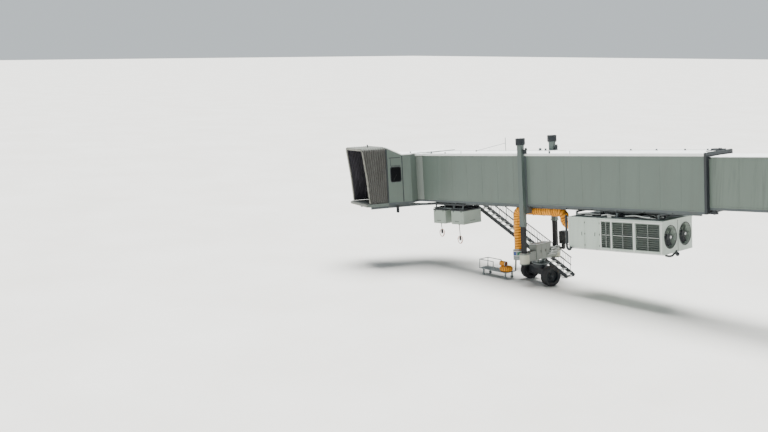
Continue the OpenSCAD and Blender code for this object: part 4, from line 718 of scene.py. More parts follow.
# Straps that hang the run from the floor, and clamps at its two ends
strap_t = np.arange(run_start + 0.15, run_end, 0.72)
a = circle(40)
strap_r, unit_end = HOSE_R + 0.004, (AIR_T - 0.06, HOSE_Y, HOSE_RUN_Z - 2 * HOSE_BEND)
bands = [sweep(np.stack([t + 0.012 * np.sin(a), HOSE_Y + strap_r * np.sin(a), HOSE_RUN_Z + strap_r * np.cos(a)], 1),
               0.009, 6, upright=(1, 0.1, 0.2)) for t in strap_t]
hangers = rods([[t, y, HOSE_RUN_Z + 0.145, t, y, -0.19] for t in strap_t for y in (HOSE_Y - 0.24, HOSE_Y + 0.24)],
               0.009, 8)
piece("hose_straps", joined(*bands, hangers), on_outer, "dark_coat", smooth=50)
clamps = joined(hoop(0.24, 0.276, -0.03, 0.03, axis="x", at=unit_end),
                hoop(0.24, 0.278, 0.0, 0.05, at=(HOSE_X, HOSE_Y, level(1.96))))
piece("hose_clamps", clamps, on_outer, "zinc_coat", smooth=40)
print("hose is", round(float(gone[-1]), 2), "m long with", len(hose.data.polygons), "faces")

# %% [markdown]
# ## The stowed hose end
# On the trolley behind the basket lies the hose's spare end: one turn of ribbed hose, and its
# aircraft coupler on top. The turn is a torus whose tube radius swells between the wires, and the
# coupler's end is a short squeezed length of the same hose, turned about its own axis.

# %% Stowed hose end
COIL_AT, COIL_R, COIL_TUBE, COIL_RIBS = (-2.05, -0.67, 0.590), 0.25, 0.16, 19
END_AT, END_R, END_LEN, END_RIBS = (-2.38, -0.80, 0.911), 0.157, 0.42, 7
turn_a = circle(COIL_RIBS * 12)[:, None]
tube_a = circle(28)[None]
coil_swell = np.abs(np.sin(COIL_RIBS * turn_a / 2)) ** 0.55
tube = COIL_TUBE - 0.020 + 0.018 * coil_swell + 0.002 * np.sin(5 * turn_a + tube_a)
out = COIL_R + tube * np.cos(tube_a)
coil = np.stack([out * np.cos(turn_a), out * np.sin(turn_a), tube * np.sin(tube_a)], -1).reshape(-1, 3) + COIL_AT
end_h = np.linspace(0.03, END_LEN - 0.03, END_RIBS * 12)
end_swell = np.abs(np.sin(np.pi * END_RIBS * (end_h - 0.03) / (END_LEN - 0.06))) ** 0.55
end = lathe(np.stack([END_R - 0.026 + 0.022 * end_swell, end_h], 1), 40, "x", END_AT)
# Painted shade in the valleys between the ribs of the turn and of the coupler's end
folds = np.concatenate([np.repeat(1 - coil_swell.ravel(), 28), np.tile(1 - end_swell, 40)])
turns = (coil, grid_faces(COIL_RIBS * 12, 28, wrap_rows=True, wrap_columns=True))
stowed = piece("hose_stowed_end", joined(turns, end), on_head, "hose_cloth", smooth=70,
               shade_and_dirt=np.clip(1.35 * folds ** 0.9, 0, 1))
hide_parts("hose_coupler")
rings = [hoop(END_R - 0.035, END_R, h, h + 0.035, steps=40, axis="x", at=END_AT) for h in (0.0, END_LEN - 0.035)]
piece("hose_end_rings", joined(*rings), on_head, "zinc_coat", smooth=40)

# %% [markdown]
# ## Floor and light
# A plain pale floor stands in for the apron, and an overcast sky lights everything softly: a pale
# world, a wide soft sun from the camera's left and a little fill. The lamps are kept at a level at
# which a colour renders about as it is written.

# %% Floor and light
floor_mesh = bpy.data.meshes.new("floor")
floor_mesh.from_pydata([(-900, -900, 0), (900, -900, 0), (900, 900, 0), (-900, 900, 0)], [], [(0, 1, 2, 3)])
floor = bpy.data.objects.new("floor", floor_mesh)
bpy.context.scene.collection.objects.link(floor)
floor_finish = bpy.data.materials.new("floor_finish")
floor_finish.use_nodes = True
t = Tree(floor_finish.node_tree)
where = t.add("TexCoord").outputs["Object"]
shade = t.ramp(t.noise(where, 0.12, 5.0, 0.6), 0.3, 0.7)
shader = floor_finish.node_tree.nodes["Principled BSDF"]
t.put(shader.inputs["Base Color"], t.mix(shade, linear(205, 203, 196), linear(214, 213, 208)))
shader.inputs["Roughness"].default_value = 0.8
floor_mesh.materials.append(floor_finish)

world = bpy.data.worlds.new("overcast")
bpy.context.scene.world = world
world.use_nodes = True
t = Tree(world.node_tree)
sky = world.node_tree.nodes["Background"]
rays = t.add("LightPath")
mirrored_ray = t.math("MAXIMUM", rays.outputs["Is Glossy Ray"], rays.outputs["Is Transmission Ray"])
seen = t.math("MAXIMUM", rays.outputs["Is Camera Ray"], mirrored_ray)
t.put(sky.inputs["Color"], t.mix(seen, linear(206, 216, 224), linear(214, 222, 226)))
t.put(sky.inputs["Strength"], t.plus(0.62, t.times(seen, 0.38)))

for name, energy, spread, towards in (("high_sun", 13.0, 40.0, (0.16, -0.16, -0.97)),
                                      ("fill", 0.2, 60.0, (-0.35, 0.80, -0.35))):
    lamp = bpy.data.objects.new(name, bpy.data.lights.new(name, "SUN"))
    bpy.context.scene.collection.objects.link(lamp)
    lamp.data.energy, lamp.data.angle = energy, np.radians(spread)
    lamp.rotation_mode = "QUATERNION"
    lamp.rotation_quaternion = Vector(towards).to_track_quat("-Z", "Y")
print("stage ready")

# %% [markdown]
# ## Canopy
# The canopy closes the gap to the aircraft. It is one coated cloth that goes up one side, over the
# top and down the other, gathered into pleats like a bellows, so here it is one continuous surface
# of two parameters: u runs from the cab to the front, v goes round the arch. The pleats push it in
# and out along the arch's own outward direction. A second, darker cloth hangs inside in deep folds,
# and a soft pad follows the front edge.

# %% Canopy cloth
CANOPY_LEAN, HALF, TOP, CORNER = 0.35, 1.675, 3.465, 0.20
GIRTH = 2 * (TOP - CORNER) + 2 * (HALF - CORNER) + np.pi * CORNER


def arch(v, half, top, corner):
    """A point and outward direction on an arch with round corners: up one leg, a quarter circle, across, a quarter
    circle and down. v goes from 0 to 1 by distance along it."""
    leg, span, bend = top - corner, 2 * (half - corner), np.pi * corner / 2
    s = np.asarray(v) * (2 * leg + span + 2 * bend)
    a1 = np.clip((s - leg) / corner, 0, np.pi / 2)
    a2 = np.clip((s - leg - bend - span) / corner, 0, np.pi / 2)
    y = -half + corner * (1 - np.cos(a1)) + np.clip(s - leg - bend, 0, span) + corner * np.sin(a2)
    down = np.clip(s - leg - 2 * bend - span, 0, leg)
    z = np.clip(s, 0, leg) + corner * np.sin(a1) - corner * (1 - np.cos(a2)) - down
    return y, z, -np.cos(a1 + a2), np.sin(a1 + a2)


def front_x(z):
    """How far out the canopy's front edge is at a height: straight at the foot, and leaning out to the top."""
    return -np.interp(z, [0.0, 1.575, 3.43], [CAB_FRONT, CAB_FRONT + 0.12, CAB_FRONT + CANOPY_LEAN])


def canopy_surface(us, vs, out, pleats, depth, sharp, wave, front_cut=0.0):
    """Bellows: x goes from the cab to the front edge with u; the arch gives y and z; the pleat is a rounded zigzag of
    u, power sharp, times depth, along the arch's outward direction; wave adds a slow uneven swing."""
    u, v = np.meshgrid(us, vs, indexing="ij")
    y, z, ny, nz = arch(v, HALF, TOP, CORNER)
    back = -CAB_LEN - 0.01
    x = back + (front_x(z) + front_cut - back) * u
    zig = (1 - np.abs(2 * np.mod(u * pleats, 1) - 1)) ** sharp
    slow = wave * (np.sin(7.3 * v * 3 + 9 * u) + 0.6 * np.sin(17.0 * v - 5.0 * u))
    push = out + depth * zig + slow * np.sin(np.pi * np.clip(u, 0, 1))
    # The top sags a little between its hoops
    sag = -0.035 * np.clip(nz, 0, 1) * np.sin(np.pi * u) * np.clip(1 - (y / HALF) ** 2, 0, 1)
    points = np.stack([x, y + ny * push, z + nz * push + sag + 0.02], -1)
    return points, zig


def pleated(name, us, vs, cloth_name, thickness, dark, **shape):
    """One pleated cloth with its thickness. Dark sets how strongly the pleats' valleys darken, which is painted shade.
    Its flat width is its area, the sum of its cells' cross products, over the arch's girth."""
    points, zig = canopy_surface(us, vs, **shape)
    cell = np.cross(points[1:, :-1] - points[:-1, :-1], points[:-1, 1:] - points[:-1, :-1])
    made = piece(name, (points.reshape(-1, 3), grid_faces(len(us), len(vs))), on_cab, cloth_name, smooth=50,
                 shade_and_dirt=np.clip(1 - dark * zig, 0, 1))
    shell = made.modifiers.new("thickness", "SOLIDIFY")
    shell.thickness, shell.offset = thickness, -1.0
    return made, float(np.linalg.norm(cell, axis=-1).sum()) / GIRTH


vs = np.linspace(0, 1, 181)
# The pleats' valleys are darkened as painted shade
canopy, width = pleated("canopy_bellows", np.linspace(0, 1, 121), vs, "canopy_cloth", 0.007, 1.6,
                        out=0.0, pleats=10, depth=0.055, sharp=0.8, wave=0.005)
# The faces over the top are of the paler roof cloth
canopy.data.materials.append(finishes["canopy_roof_cloth"][0])
top_from = (TOP - 0.12) / GIRTH
for k, polygon in enumerate(canopy.data.polygons):
    polygon.material_index = int(top_from < (k % (len(vs) - 1)) / (len(vs) - 1) < 1 - top_from)
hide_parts("canopy_near", "canopy_far", "canopy_top")
print("canopy cloth is", round(width, 2), "by", round(GIRTH, 2), "m before it is pleated")

# Inner drapes: a second cloth, hung in deep gathers whose valleys are darkened nearly to black as painted shade
lining, width = pleated("canopy_lining", np.linspace(0.02, 1, 161), np.linspace(0.004, 0.996, 121), "drape_cloth",
                        0.005, 1.5, out=-0.155, pleats=13, depth=0.075, sharp=1.0, wave=0.012, front_cut=0.05)

# Soft pad along the front edge: an oval section, lumpy by a sine, carried round the arch
v = np.linspace(0.0, 1.0, 160)
y, z, ny, nz = arch(v, 1.645, 3.41, 0.22)
centre = np.stack([front_x(z) + 0.055, y, z + 0.03], 1)[:, None]
a = circle(14)[None, :, None]
out = np.stack([0 * ny, ny, nz], 1)[:, None]
lump = 1 + 0.05 * np.sin(v * 150)[:, None, None]
section = lump * (0.055 * np.cos(a) * [1, 0, 0] + 0.085 * np.sin(a) * out)
pad = piece("canopy_front_pad", strip(centre + section), on_cab, "pad_cloth", smooth=60,
            shade_and_dirt=np.clip(np.sin(v * 150)[:, None] * np.ones(14), 0, 1) * 0.4)

# %% [markdown]
# ## Slatted curtains
# The curtains beside the cab and the rotunda's portal are narrow metal slats hinged to each other.
# Seen from outside they are a wall of half round ribs, so each is a closed section whose outer line
# is an arc plus a rib height, which is the absolute sine of the distance along the arc.

# %% Slatted curtains
SLAT_PITCH = 0.075


def slats(radius, thick, start, end, low, high, rise=0.010):
    """A curved wall: at each angle the section is outer low, outer high, inner high, inner low; the faces' radius
    swings by the rise times the absolute sine of half a turn for each slat."""
    arc = abs(np.radians(end - start) * radius)
    steps = int(arc / SLAT_PITCH) * 6 + 1
    rib = rise * np.abs(np.sin(np.pi * np.linspace(0, arc, steps) / SLAT_PITCH)) ** 0.7
    outer, inner = radius + thick - rise + rib, radius + rise - rib
    corners = ((outer, low), (outer, high), (inner, high), (inner, low))
    return bent(np.radians(np.linspace(start, end, steps)), corners)


FLOOR_Z, CEILING_Z = PIN_Z + 0.21, PIN_Z + 0.21 + 2.62
PANEL_X, PORTAL_Y, CURTAIN_END = -2.0797, 1.24, 143.5
wall = slats(1.90, 0.05, CURTAIN_END - 77, CURTAIN_END, FLOOR_Z + 0.02, CEILING_Z - 0.02)
# The flat panel that joins the curtain to the portal's post
c, d = np.cos(np.radians(142.5)), np.sin(np.radians(142.5))
outline = np.array([(1.908 * c, 1.908 * d), (PANEL_X, PORTAL_Y + 0.03), (PANEL_X, PORTAL_Y + 0.09),
                    (1.942 * c, 1.942 * d)])
far_part = joined(wall, prism(outline, FLOOR_Z + 0.03, CEILING_Z - 0.03))
for name, part in (("far", far_part), ("near", mirrored(far_part))):
    curtain = piece(f"rotunda_slats_{name}", part, on_swing, "slat_coat", smooth=40)
    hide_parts(f"slat_curtain_{name}")
print("rotunda slats have", len(curtain.data.polygons), "faces each")
near_corner = 180 - CAB_TURN - np.degrees(np.arctan2(OUTER_Y, -CAB_X))
ribs = [slats(1.565, 0.035, start, end, 0.02, 2.785, rise=0.006)
        for start, end in ((180 - 45 - 84, 180 - 45), (180 + 45, 180 + near_corner - 0.3))]
post = prism(np.array([(-1.614, -0.04), (-1.555, -0.04), (-1.555, 0.04), (-1.614, 0.04)]), 0.015, 2.79)
posts = [placed(post, turn("z", angle)) for angle in (-45, 45)]
cab_slats = piece("cab_slats", joined(*ribs, *posts), on_cab, "slat_coat", smooth=40)
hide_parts("cab_curtains")

# %% [markdown]
# ## Roof gear
# The roof carries a cable trolley's arm at the tunnel's open end, knobs of several sizes and strips
# over its joints. They are only bars and turned caps, but they break up the long white roof as on
# the real bridge, and each stands on the roof's own crowned surface.

# %% Roof gear
KNOBS = ((0.55, -1.15, 0.05, 0.13), (1.75, -1.18, 0.04, 0.10), (7.30, 1.20, 0.08, 0.16), (7.70, 1.20, 0.06, 0.14),
         (9.75, -1.20, 0.05, 0.16), (6.20, 0.9, 0.05, 0.10), (13.6, 1.1, 0.05, 0.09), (15.2, 1.1, 0.05, 0.09),
         (16.9, 1.1, 0.05, 0.09), (18.2, 1.1, 0.05, 0.09))
EAVE_Z, CROWN = 2.915, 0.050


def roof_height(y):
    """The crowned roof: highest in the middle and falling to both edges in a straight line."""
    return EAVE_Z + CROWN * (1 - np.abs(y) / OUTER_Y)


def cap(t, y, radius, height):
    """A turned knob with a flange and a domed top, standing on the roof at t, y."""
    profile = [(radius * 1.5, 0), (radius * 1.5, 0.012), (radius, 0.02), (radius, height * 0.8), (radius * 0.7, height),
               (0.002, height * 1.04)]
    return lathe(profile, 18, at=(t, y, roof_height(y) - 0.004))


piece("roof_knobs", joined(*[cap(*knob) for knob in KNOBS]), on_outer, "under_coat", smooth=40)
eave = OUTER_Y + 0.012
seams = boards([[t, -eave, EAVE_Z - 0.018, t + 0.02, eave, EAVE_Z + 0.006] for t in np.arange(2.4, 19.0, 2.4)])
rim = both(boards([[0.0, -OUTER_Y - 0.032, 2.895, OUTER_L, -OUTER_Y - 0.010, 2.945]]))
piece("roof_edge_trim", joined(seams, rim), on_outer, "roof_coat", bevel=0.003)
# Gear of the cable trolley where the inner tunnel slides out
gear = joined(
    rods([[19.10, -0.75, 3.00, 19.44, 0.30, 3.06], [19.20, 0.10, 3.0, 19.44, 0.24, 3.10],
          [19.44, -1.25, 2.985, 19.44, 1.25, 2.985]], 0.022, 10),
    rods([[18.95, 0.55, 2.90, 18.95, 0.55, 3.08], [18.95, 1.05, 2.90, 18.95, 1.05, 3.05]], 0.02, 8),
    boards([[18.72, 0.42, 2.93, 19.06, 0.74, 3.06], [18.80, 0.92, 2.93, 19.20, 1.14, 3.02]]),
    cap(19.30, 0.24, 0.06, 0.16))
piece("cable_trolley", gear, on_outer, "dark_coat", smooth=40, bevel=0.004)
q = np.linspace(0, 1, 24)
sagging = [np.stack([19.42 - 0.3 * q + k * 0.05, -1.28 + (1.6 + k * 0.2) * q, 3.055 + 0.02 * q - 0.10 * q * (1 - q)], 1)
           for k in (0, 1)]
piece("trolley_wires", tubes(sagging, (0.012, 0.012), upright=(1, 0.1, 0.3)), on_outer, "dark_coat", smooth=50)

# %% [markdown]
# ## Mouth seal
# Where the inner tunnel enters the outer one a dark rubber lip seals the gap. It is a strip of soft
# flaps round the opening, made as a ribbed sheet: the lip's reach swings a little along its length.

# %% Mouth seal and inner tunnel trim
MOUTH_X, INNER_TOP, INNER_FACE = 19.42, 2.71, 1.148


def lip(start, run, inwards, reach, waves):
    """A flap along a run: its edge reaches inwards, and swings by 10 mm times the absolute sine of the distance."""
    s = np.linspace(0, 1, 90)[:, None]
    inner = (reach + 0.010 * np.abs(np.sin(s * waves))) * inwards
    edge = np.add(start, s * run)
    corners = ((0.0, 0), (0.035, 1), (0.045, 1), (0.045, 0))
    return strip(np.stack([edge + [dx, 0, 0] + k * inner for dx, k in corners], 1))


flaps = [lip((MOUTH_X, side * 1.205, -0.02), (0, 0, 2.78), (0, -side, 0), 0.030, 140) for side in (-1, 1)]
flaps.append(lip((MOUTH_X, -1.19, 2.80), (0, 2.38, 0), (0, 0, -1), 0.028, 120))
piece("mouth_lip", joined(*flaps), on_outer, "rubber_coat", smooth=40)
# Cover strips along the walls' feet and the pressed joints between wall panels
trim = [[0.02, -0.014, 0.0, 19.28, 0.002, 0.055]]
trim += [[t, -0.004, 0.06, t + 0.016, 0.002, 2.79] for t in np.arange(1.2, 19.2, 1.2) if abs(t - COLUMN_T) > 0.35]
piece("outer_wall_trim", both(wall_boards(trim, -OUTER_Y)), on_outer, "wall_coat", bevel=0.002)
trim = [[-18.7, -0.017, 0.21, -0.47, 0.0, 0.27], [-18.7, -0.027, INNER_TOP - 0.03, -0.46, 0.0, INNER_TOP + 0.02]]
trim += [[t, -0.007, 0.28, t + 0.016, 0.0, INNER_TOP - 0.04] for t in np.arange(-17.6, -0.6, 1.2)]
piece("inner_wall_trim", both(wall_boards(trim, -INNER_FACE)), on_inner, "inner_coat", bevel=0.002)

# %% [markdown]
# ## Air unit
# The unit's doors, handles, hinges and corner posts are what give it scale. The coil behind each
# grille is a pack of thin fins, made as one zigzag surface.

# %% Air unit doors and fins
BAYS = ((2.16, 0.56), (2.86, 1.24), (4.30, 1.40))
FAN_X, FAN_Y, FAN_Z = AIR_LEN, 0.75, (AIR_TOP + AIR_BOTTOM) / 2
bars = [[t, -0.014, AIR_BOTTOM + 0.03, t + 0.07, 0, AIR_TOP - 0.05] for t in (0.0, 2.085, 2.75, 4.145, 5.78)]
bars += [[0, -0.012, AIR_BOTTOM, AIR_LEN, 0, AIR_BOTTOM + 0.07],
         [2.1, -0.012, AIR_TOP - 0.12, AIR_LEN, 0, AIR_TOP - 0.05]]
piece("air_unit_posts", both(wall_boards(bars, -AIR_Y)), on_unit, "tube_coat", bevel=0.004)
hinges = rods([[t, -AIR_Y - 0.012, z - 0.05, t, -AIR_Y - 0.012, z + 0.05] for t in (1.09, 2.04)
               for z in (AIR_BOTTOM + 0.25, FAN_Z, AIR_TOP - 0.25)], 0.014, 10)
handles = rods([[t, -AIR_Y - 0.03, -1.40, t, -AIR_Y - 0.03, -1.56] for t in (1.75, 0.9)], 0.012, 10)
studs = wall_boards([[t, -0.032, z, t + 0.02, 0, z + 0.02] for t in (0.89, 1.74) for z in (-1.40, -1.57)], -AIR_Y)
piece("air_unit_hinges", both(hinges, handles, studs), on_unit, "dark_coat", smooth=40)
fins = []
for t0, width in BAYS:
    n = 2 * int(width / 0.02) + 1
    x = np.linspace(t0 + 0.01, t0 + width - 0.01, n)
    zigzag, back = 0.100 + 0.012 * (np.arange(n) % 2) - AIR_Y, 0 * x + 0.119 - AIR_Y
    low, high = 0 * x + AIR_BOTTOM + 0.19, 0 * x + AIR_TOP - 0.17
    corners = ((zigzag, low), (zigzag, high), (back, high), (back, low))
    fins.append(strip(np.stack([np.stack([x, y, z], 1) for y, z in corners], 1)))
piece("coil_fins", both(*fins), on_unit, "grille_coat")

# %% [markdown]
# ## Fan guards and grille bars
# Each fan's guard is nine wire circles on eight spokes, with a rim and a hub, and a cross of two
# bars divides each grille.

# %% Fan guards and grille bars
guards, hubs = [], []
a, k = circle(48), np.radians(np.arange(0, 360, 45) + 12)
for y in (-FAN_Y, FAN_Y):
    for r in np.linspace(0.09, 0.585, 9):
        ring = np.stack([0 * a + FAN_X + 0.012, y + r * np.cos(a), FAN_Z + r * np.sin(a)], 1)
        guards.append(rods(np.hstack([ring, np.roll(ring, -1, 0)]), 0.0025, 4))
    spokes = [np.stack([0 * k + FAN_X + 0.020, y + r * np.cos(k), FAN_Z + r * np.sin(k)], 1) for r in (0.08, 0.60)]
    guards += [rods(np.hstack(spokes), 0.004, 5),
               hoop(0.585, 0.625, 0, 0.022, steps=64, axis="x", at=(FAN_X, y, FAN_Z))]
    hubs.append(lathe([(0.001, 0.0), (0.075, 0.004), (0.09, 0.014), (0.085, 0.024), (0.001, 0.026)], 24, "x",
                      (FAN_X + 0.004, y, FAN_Z)))
piece("fan_guards", joined(*guards), on_unit, "dark_coat")
piece("fan_guard_hubs", joined(*hubs), on_unit, "zinc_coat", smooth=40)
dividers = [[t0 + width / 2 - 0.012, 0.03, AIR_BOTTOM + 0.18, t0 + width / 2 + 0.012, 0.045, AIR_TOP - 0.16]
            for t0, width in BAYS]
dividers += [[t0, 0.031, FAN_Z - 0.012, t0 + width, 0.046, FAN_Z + 0.012] for t0, width in BAYS]
piece("grille_dividers", both(wall_boards(dividers, -AIR_Y)), on_unit, "tube_coat")

# %% [markdown]
# ## Pipes of the air unit
# Pipes lie loose on the lid and bend under the unit's end. Each is a tube along a line of points,
# with a sine in it where the real one sags.

# %% Pipes of the air unit
q = np.linspace(0, 1, 16)
elbow = np.stack([FAN_X - 0.06 + 0.05 * q, -1.15 + q,
                  AIR_BOTTOM - 0.05 - 0.10 * np.sin(np.pi * q) + 0.30 * np.clip(q - 0.6, 0, 1)], 1)
trap = lathe([(0.001, -0.115), (0.06, -0.10), (0.105, -0.05), (0.115, 0.0), (0.105, 0.05), (0.06, 0.10), (0.03, 0.115),
              (0.03, 0.24), (0.001, 0.24)], 24, "z", (FAN_X - 0.12, 0.14, AIR_BOTTOM - 0.16))
seam = boards([[FAN_X - 0.002, -0.014, AIR_BOTTOM, FAN_X + 0.008, 0.014, AIR_TOP]])
piece("fan_end_pipes", joined(sweep(elbow, 0.06, 12, upright=(0.1, 0.2, 1)), trap, seam), on_unit, "dark_coat",
      smooth=50)
# The drain pipe that bends under the unit's end, and pipes and trays on its lid
DRAIN_T, DRAIN_Y, DRAIN_BEND, DRAIN_LOW, LID_Z = -0.15, -AIR_Y + 0.02, 0.20, -2.22, -0.585
bend = np.radians(np.linspace(0, 170, 14))
drain = [(DRAIN_T, DRAIN_Y, z) for z in (-0.50, *np.linspace(-0.75, DRAIN_LOW, 12))]
drain += np.stack([DRAIN_T + DRAIN_BEND * (1 - np.cos(bend)), DRAIN_Y - 0.08 * (1 - np.cos(bend)),
                   DRAIN_LOW - DRAIN_BEND * np.sin(bend)], 1).tolist()
clips = boards([[-0.14, -AIR_Y + 0.10, z, 0.002, -AIR_Y + 0.22, z + 0.03] for z in (-0.9, -1.6, -2.2)])


def lid_line(x0, x1, y0, y1, height, span, phase):
    """A pipe's line over the lid: straight from end to end, and rising and falling by a sine."""
    q = np.linspace(0, 1, 12)
    return np.stack([x0 + (x1 - x0) * q, y0 + (y1 - y0) * q, height + 0.03 * np.sin(span * q + phase)], 1)


dark_lines = [lid_line(*row, -0.46, 6, row[0] + AIR_T) for row in ((0.2, 5.6, -0.9, -0.7), (0.4, 5.1, -0.4, -0.55),
              (1.1, 5.7, 0.3, 0.6), (0.3, 3.9, -1.0, 0.2), (1.9, 5.3, 0.9, -0.2))]
bright_lines = [lid_line(*row, -0.40, 7, row[2]) for row in ((0.5, 1.8, -1.3, -1.0), (2.1, 2.9, -1.35, -1.2),
                (3.5, 5.1, -1.2, -1.35), (4.5, 5.7, -0.6, -1.1))]
trays = boards([[0.9, -1.2, LID_Z, 1.4, -0.9, -0.46], [2.4, -1.25, LID_Z, 2.65, -1.0, -0.42],
                [4.8, -1.2, LID_Z, 5.3, -0.8, -0.47]])
piece("lid_pipes", joined(tubes(bright_lines, [0.045] * 4, 10), trays), on_unit, "zinc_coat", smooth=40)
piece("unit_pipes", joined(sweep(drain, 0.066, 14), clips, tubes(dark_lines, (0.05, 0.03, 0.04, 0.025, 0.03))), on_unit,
      "dark_coat", smooth=50)

# %% [markdown]
# ## Cab window and seams
# The cab's window is dark glass in a rubber frame, which is a ring swept round a rectangle with
# round corners. The wall's joints are black rubber strips, laid just proud of the wall.

# %% Cab window and seams
WINDOW = np.array([-3.10, -2.46, 1.33, 2.21])
OUTWARDS = np.array([-1, 1, -1, 1])


def rounded_ring(x0, x1, z0, z1, corner):
    """Points round a rectangle with quarter circle corners, in x and z."""
    centres = ((x1 - corner, z1 - corner), (x0 + corner, z1 - corner), (x0 + corner, z0 + corner),
               (x1 - corner, z0 + corner))
    rows = []
    for (cx, cz), start in zip(centres, (0, 90, 180, 270)):
        a = np.radians(np.linspace(start, start + 90, 8))
        rows.append(np.stack([cx + corner * np.cos(a), cz + corner * np.sin(a)], 1))
    return np.concatenate(rows)


def framed(ring, inset, y_out, y_in):
    """A flat frame of a ring and the same ring set in, between two planes of y."""
    centre = ring.mean(0)
    size = np.abs(ring - centre).max(0)
    inner = centre + (ring - centre) * (size - inset) / size
    rows = [np.insert(r, 1, y, axis=1) for r, y in ((ring, y_in), (ring, y_out), (inner, y_out), (inner, y_in))]
    return np.stack(rows, 1).reshape(-1, 3), grid_faces(len(ring), 4, wrap_rows=True, wrap_columns=True)


pane = prism(rounded_ring(*(WINDOW + 0.01 * OUTWARDS), 0.09), -CAB_Y - 0.004, -CAB_Y + 0.004, "y")
piece("cab_window", pane, on_cab, "dark_glass")
frame_part = framed(rounded_ring(*(WINDOW + 0.05 * OUTWARDS), 0.12), 0.045, -CAB_Y - 0.014, -CAB_Y + 0.003)
wiper = rods([[-2.95, -CAB_Y - 0.014, 1.42, -2.72, -CAB_Y - 0.012, 1.75]], 0.008, 6)
piece("cab_window_frame", joined(frame_part, wiper), on_cab, "dark_coat", bevel=0.004)
# Hatch over the window: a thin dark joint on three sides and a hinge line
hatch = [[-3.12, -0.004, 2.33, -3.09, 0.003, 2.80], [-3.12, -0.004, 2.30, -2.44, 0.003, 2.33],
         [-3.20, -0.006, 2.80, -2.44, 0.003, 2.84]]
piece("cab_hatch_joint", wall_boards(hatch, -CAB_Y), on_cab, "dark_coat", bevel=0.002)
seams = [[-2.36, -0.006, 0.02, -2.30, 0.004, 2.90], [-CAB_LEN - 0.004, -0.008, 0.02, -CAB_LEN + 0.085, 0.004, 3.39]]
piece("cab_seams", both(wall_boards(seams, -CAB_Y)), on_cab, "dark_coat", bevel=0.003)
strips = [[-1.80, -0.010, 0.03, -1.752, 0.002, 2.90], [-3.30, -0.005, 0.02, -3.26, 0.002, 3.33]]
piece("cab_corner_strips", both(wall_boards(strips, -CAB_Y)), on_cab, "wall_coat", bevel=0.003)

# %% [markdown]
# ## Bumper, lamps and roller
# The rounded bumper is one section repeated along the front edge, edge boards close the sides of
# the floor, lamps stand on the roof, and a guide roller hangs below on two arms.

# %% Bumper, lamps and roller
a = np.radians(np.linspace(-90, 90, 9))
profile = np.array([(0.0, -0.17), *zip(-0.075 - 0.035 * np.cos(a), -0.085 + 0.085 * np.sin(a)), (0.0, 0.0)])
w = np.linspace(-CAB_Y + 0.04, CAB_Y - 0.04, 60)[:, None]
x, z = profile[None, :, 0] - CAB_FRONT - 0.10 + 0.006 * np.sin(w * 40), profile[None, :, 1] + 0 * w
piece("cab_bumper", strip(np.stack([x, w + 0 * z, z], -1)), on_cab, "pad_rubber", smooth=50)
edge = [[-CAB_FRONT - 0.09, -0.055, -0.175, -CAB_LEN + 0.02, 0.002, 0.005]]
piece("cab_floor_edge", both(wall_boards(edge, -CAB_Y)), on_cab, "grille_coat", bevel=0.004)
LAMPS = ((-3.35, -1.2, 3.30, 0.18), (-2.9, 1.1, 3.10, 0.22), (-4.0, 0.0, 3.50, 0.18), (-1.45, -0.95, 2.90, 0.18))
stems = rods([[x, y, z, x, y, z + height] for x, y, z, height in LAMPS], 0.03, 10)
heads = [lathe([(0.001, 0), (0.05, 0.01), (0.05, 0.06), (0.001, 0.08)], 16, at=at)
         for at in ((-4.0, 0.0, 3.60), (-1.45, -0.95, 3.02), (-3.35, -1.2, 3.40))]
piece("cab_roof_lamps", joined(stems, *heads), on_cab, "dark_coat", smooth=40)
roller = lathe([(0.001, -0.08), (0.075, -0.08), (0.09, -0.06), (0.09, 0.06), (0.075, 0.08), (0.001, 0.08)], 24, "y",
               (-2.62, -1.30, -0.62))
arms = boards([[-2.68, -1.42, -0.66, -2.56, -1.395, -0.28], [-2.68, -1.205, -0.66, -2.56, -1.18, -0.28]])
piece("cab_roller", joined(roller, arms), on_cab, "dark_coat", smooth=40)

# %% [markdown]
# ## Hoists
# Each hoist box has a lid, latches and slots, and a tangle of conduits on top.
# A tangle reads as real when every line has its own slow wander, so each is a straight line plus
# two sines of its own.

# %% Hoist lids, latches and conduits
def wander(start, end, swing, seed, count=14):
    """A line from start to end that wanders by two sines in two directions, still at both ends."""
    q = np.linspace(0, 1, count)
    line = np.add(start, np.subtract(end, start) * q[:, None])
    ends = np.sin(np.pi * q)
    line[:, 1] += swing * ends * np.sin(5.1 * q + seed)
    line[:, 2] += 0.5 * swing * ends * np.sin(7.7 * q + 2 * seed)
    return line


lids, latches, runs = [], [], []
for k, t in enumerate(HOIST_T):
    t1, y0, y1, z = t + HOIST_LEN, HOIST_Y, HOIST_Y + HOIST_W, HOIST_TOP
    lids += [[t - 0.02, y0 - 0.02, z - 0.05, t1 + 0.02, y1 + 0.02, z + 0.045]]
    latches += [[t + x, y0 - 0.035, z - 0.13, t + x + 0.05, y0 + 0.002, z - 0.04] for x in (0.15, 0.80)]
    latches += [[t + 0.28, y0 - 0.006, -1.36, t + 0.62, y0 + 0.002, -1.32],
                [t1 - 0.002, -0.45, -1.34, t1 + 0.006, 0.02, -1.30]]
    runs += [wander((t - 0.05, y0 + 0.1 + 0.26 * i, z + 0.10), (t + 1.1, y0 + 0.2 + 0.24 * i, z + 0.14),
                    0.10, k * 5 + i) for i in range(6)]
    runs += [wander((t + 0.1 + 0.15 * i, y0 + 0.03, z + 0.08), (t + 0.2 + 0.14 * i, 0.5, z + 0.22), 0.06, k * 3 + i)
             for i in range(5)]
piece("hoist_lids", boards(lids), on_outer, "dark_coat", bevel=0.01)
piece("hoist_latches", boards(latches), on_outer, "grille_coat", bevel=0.003)
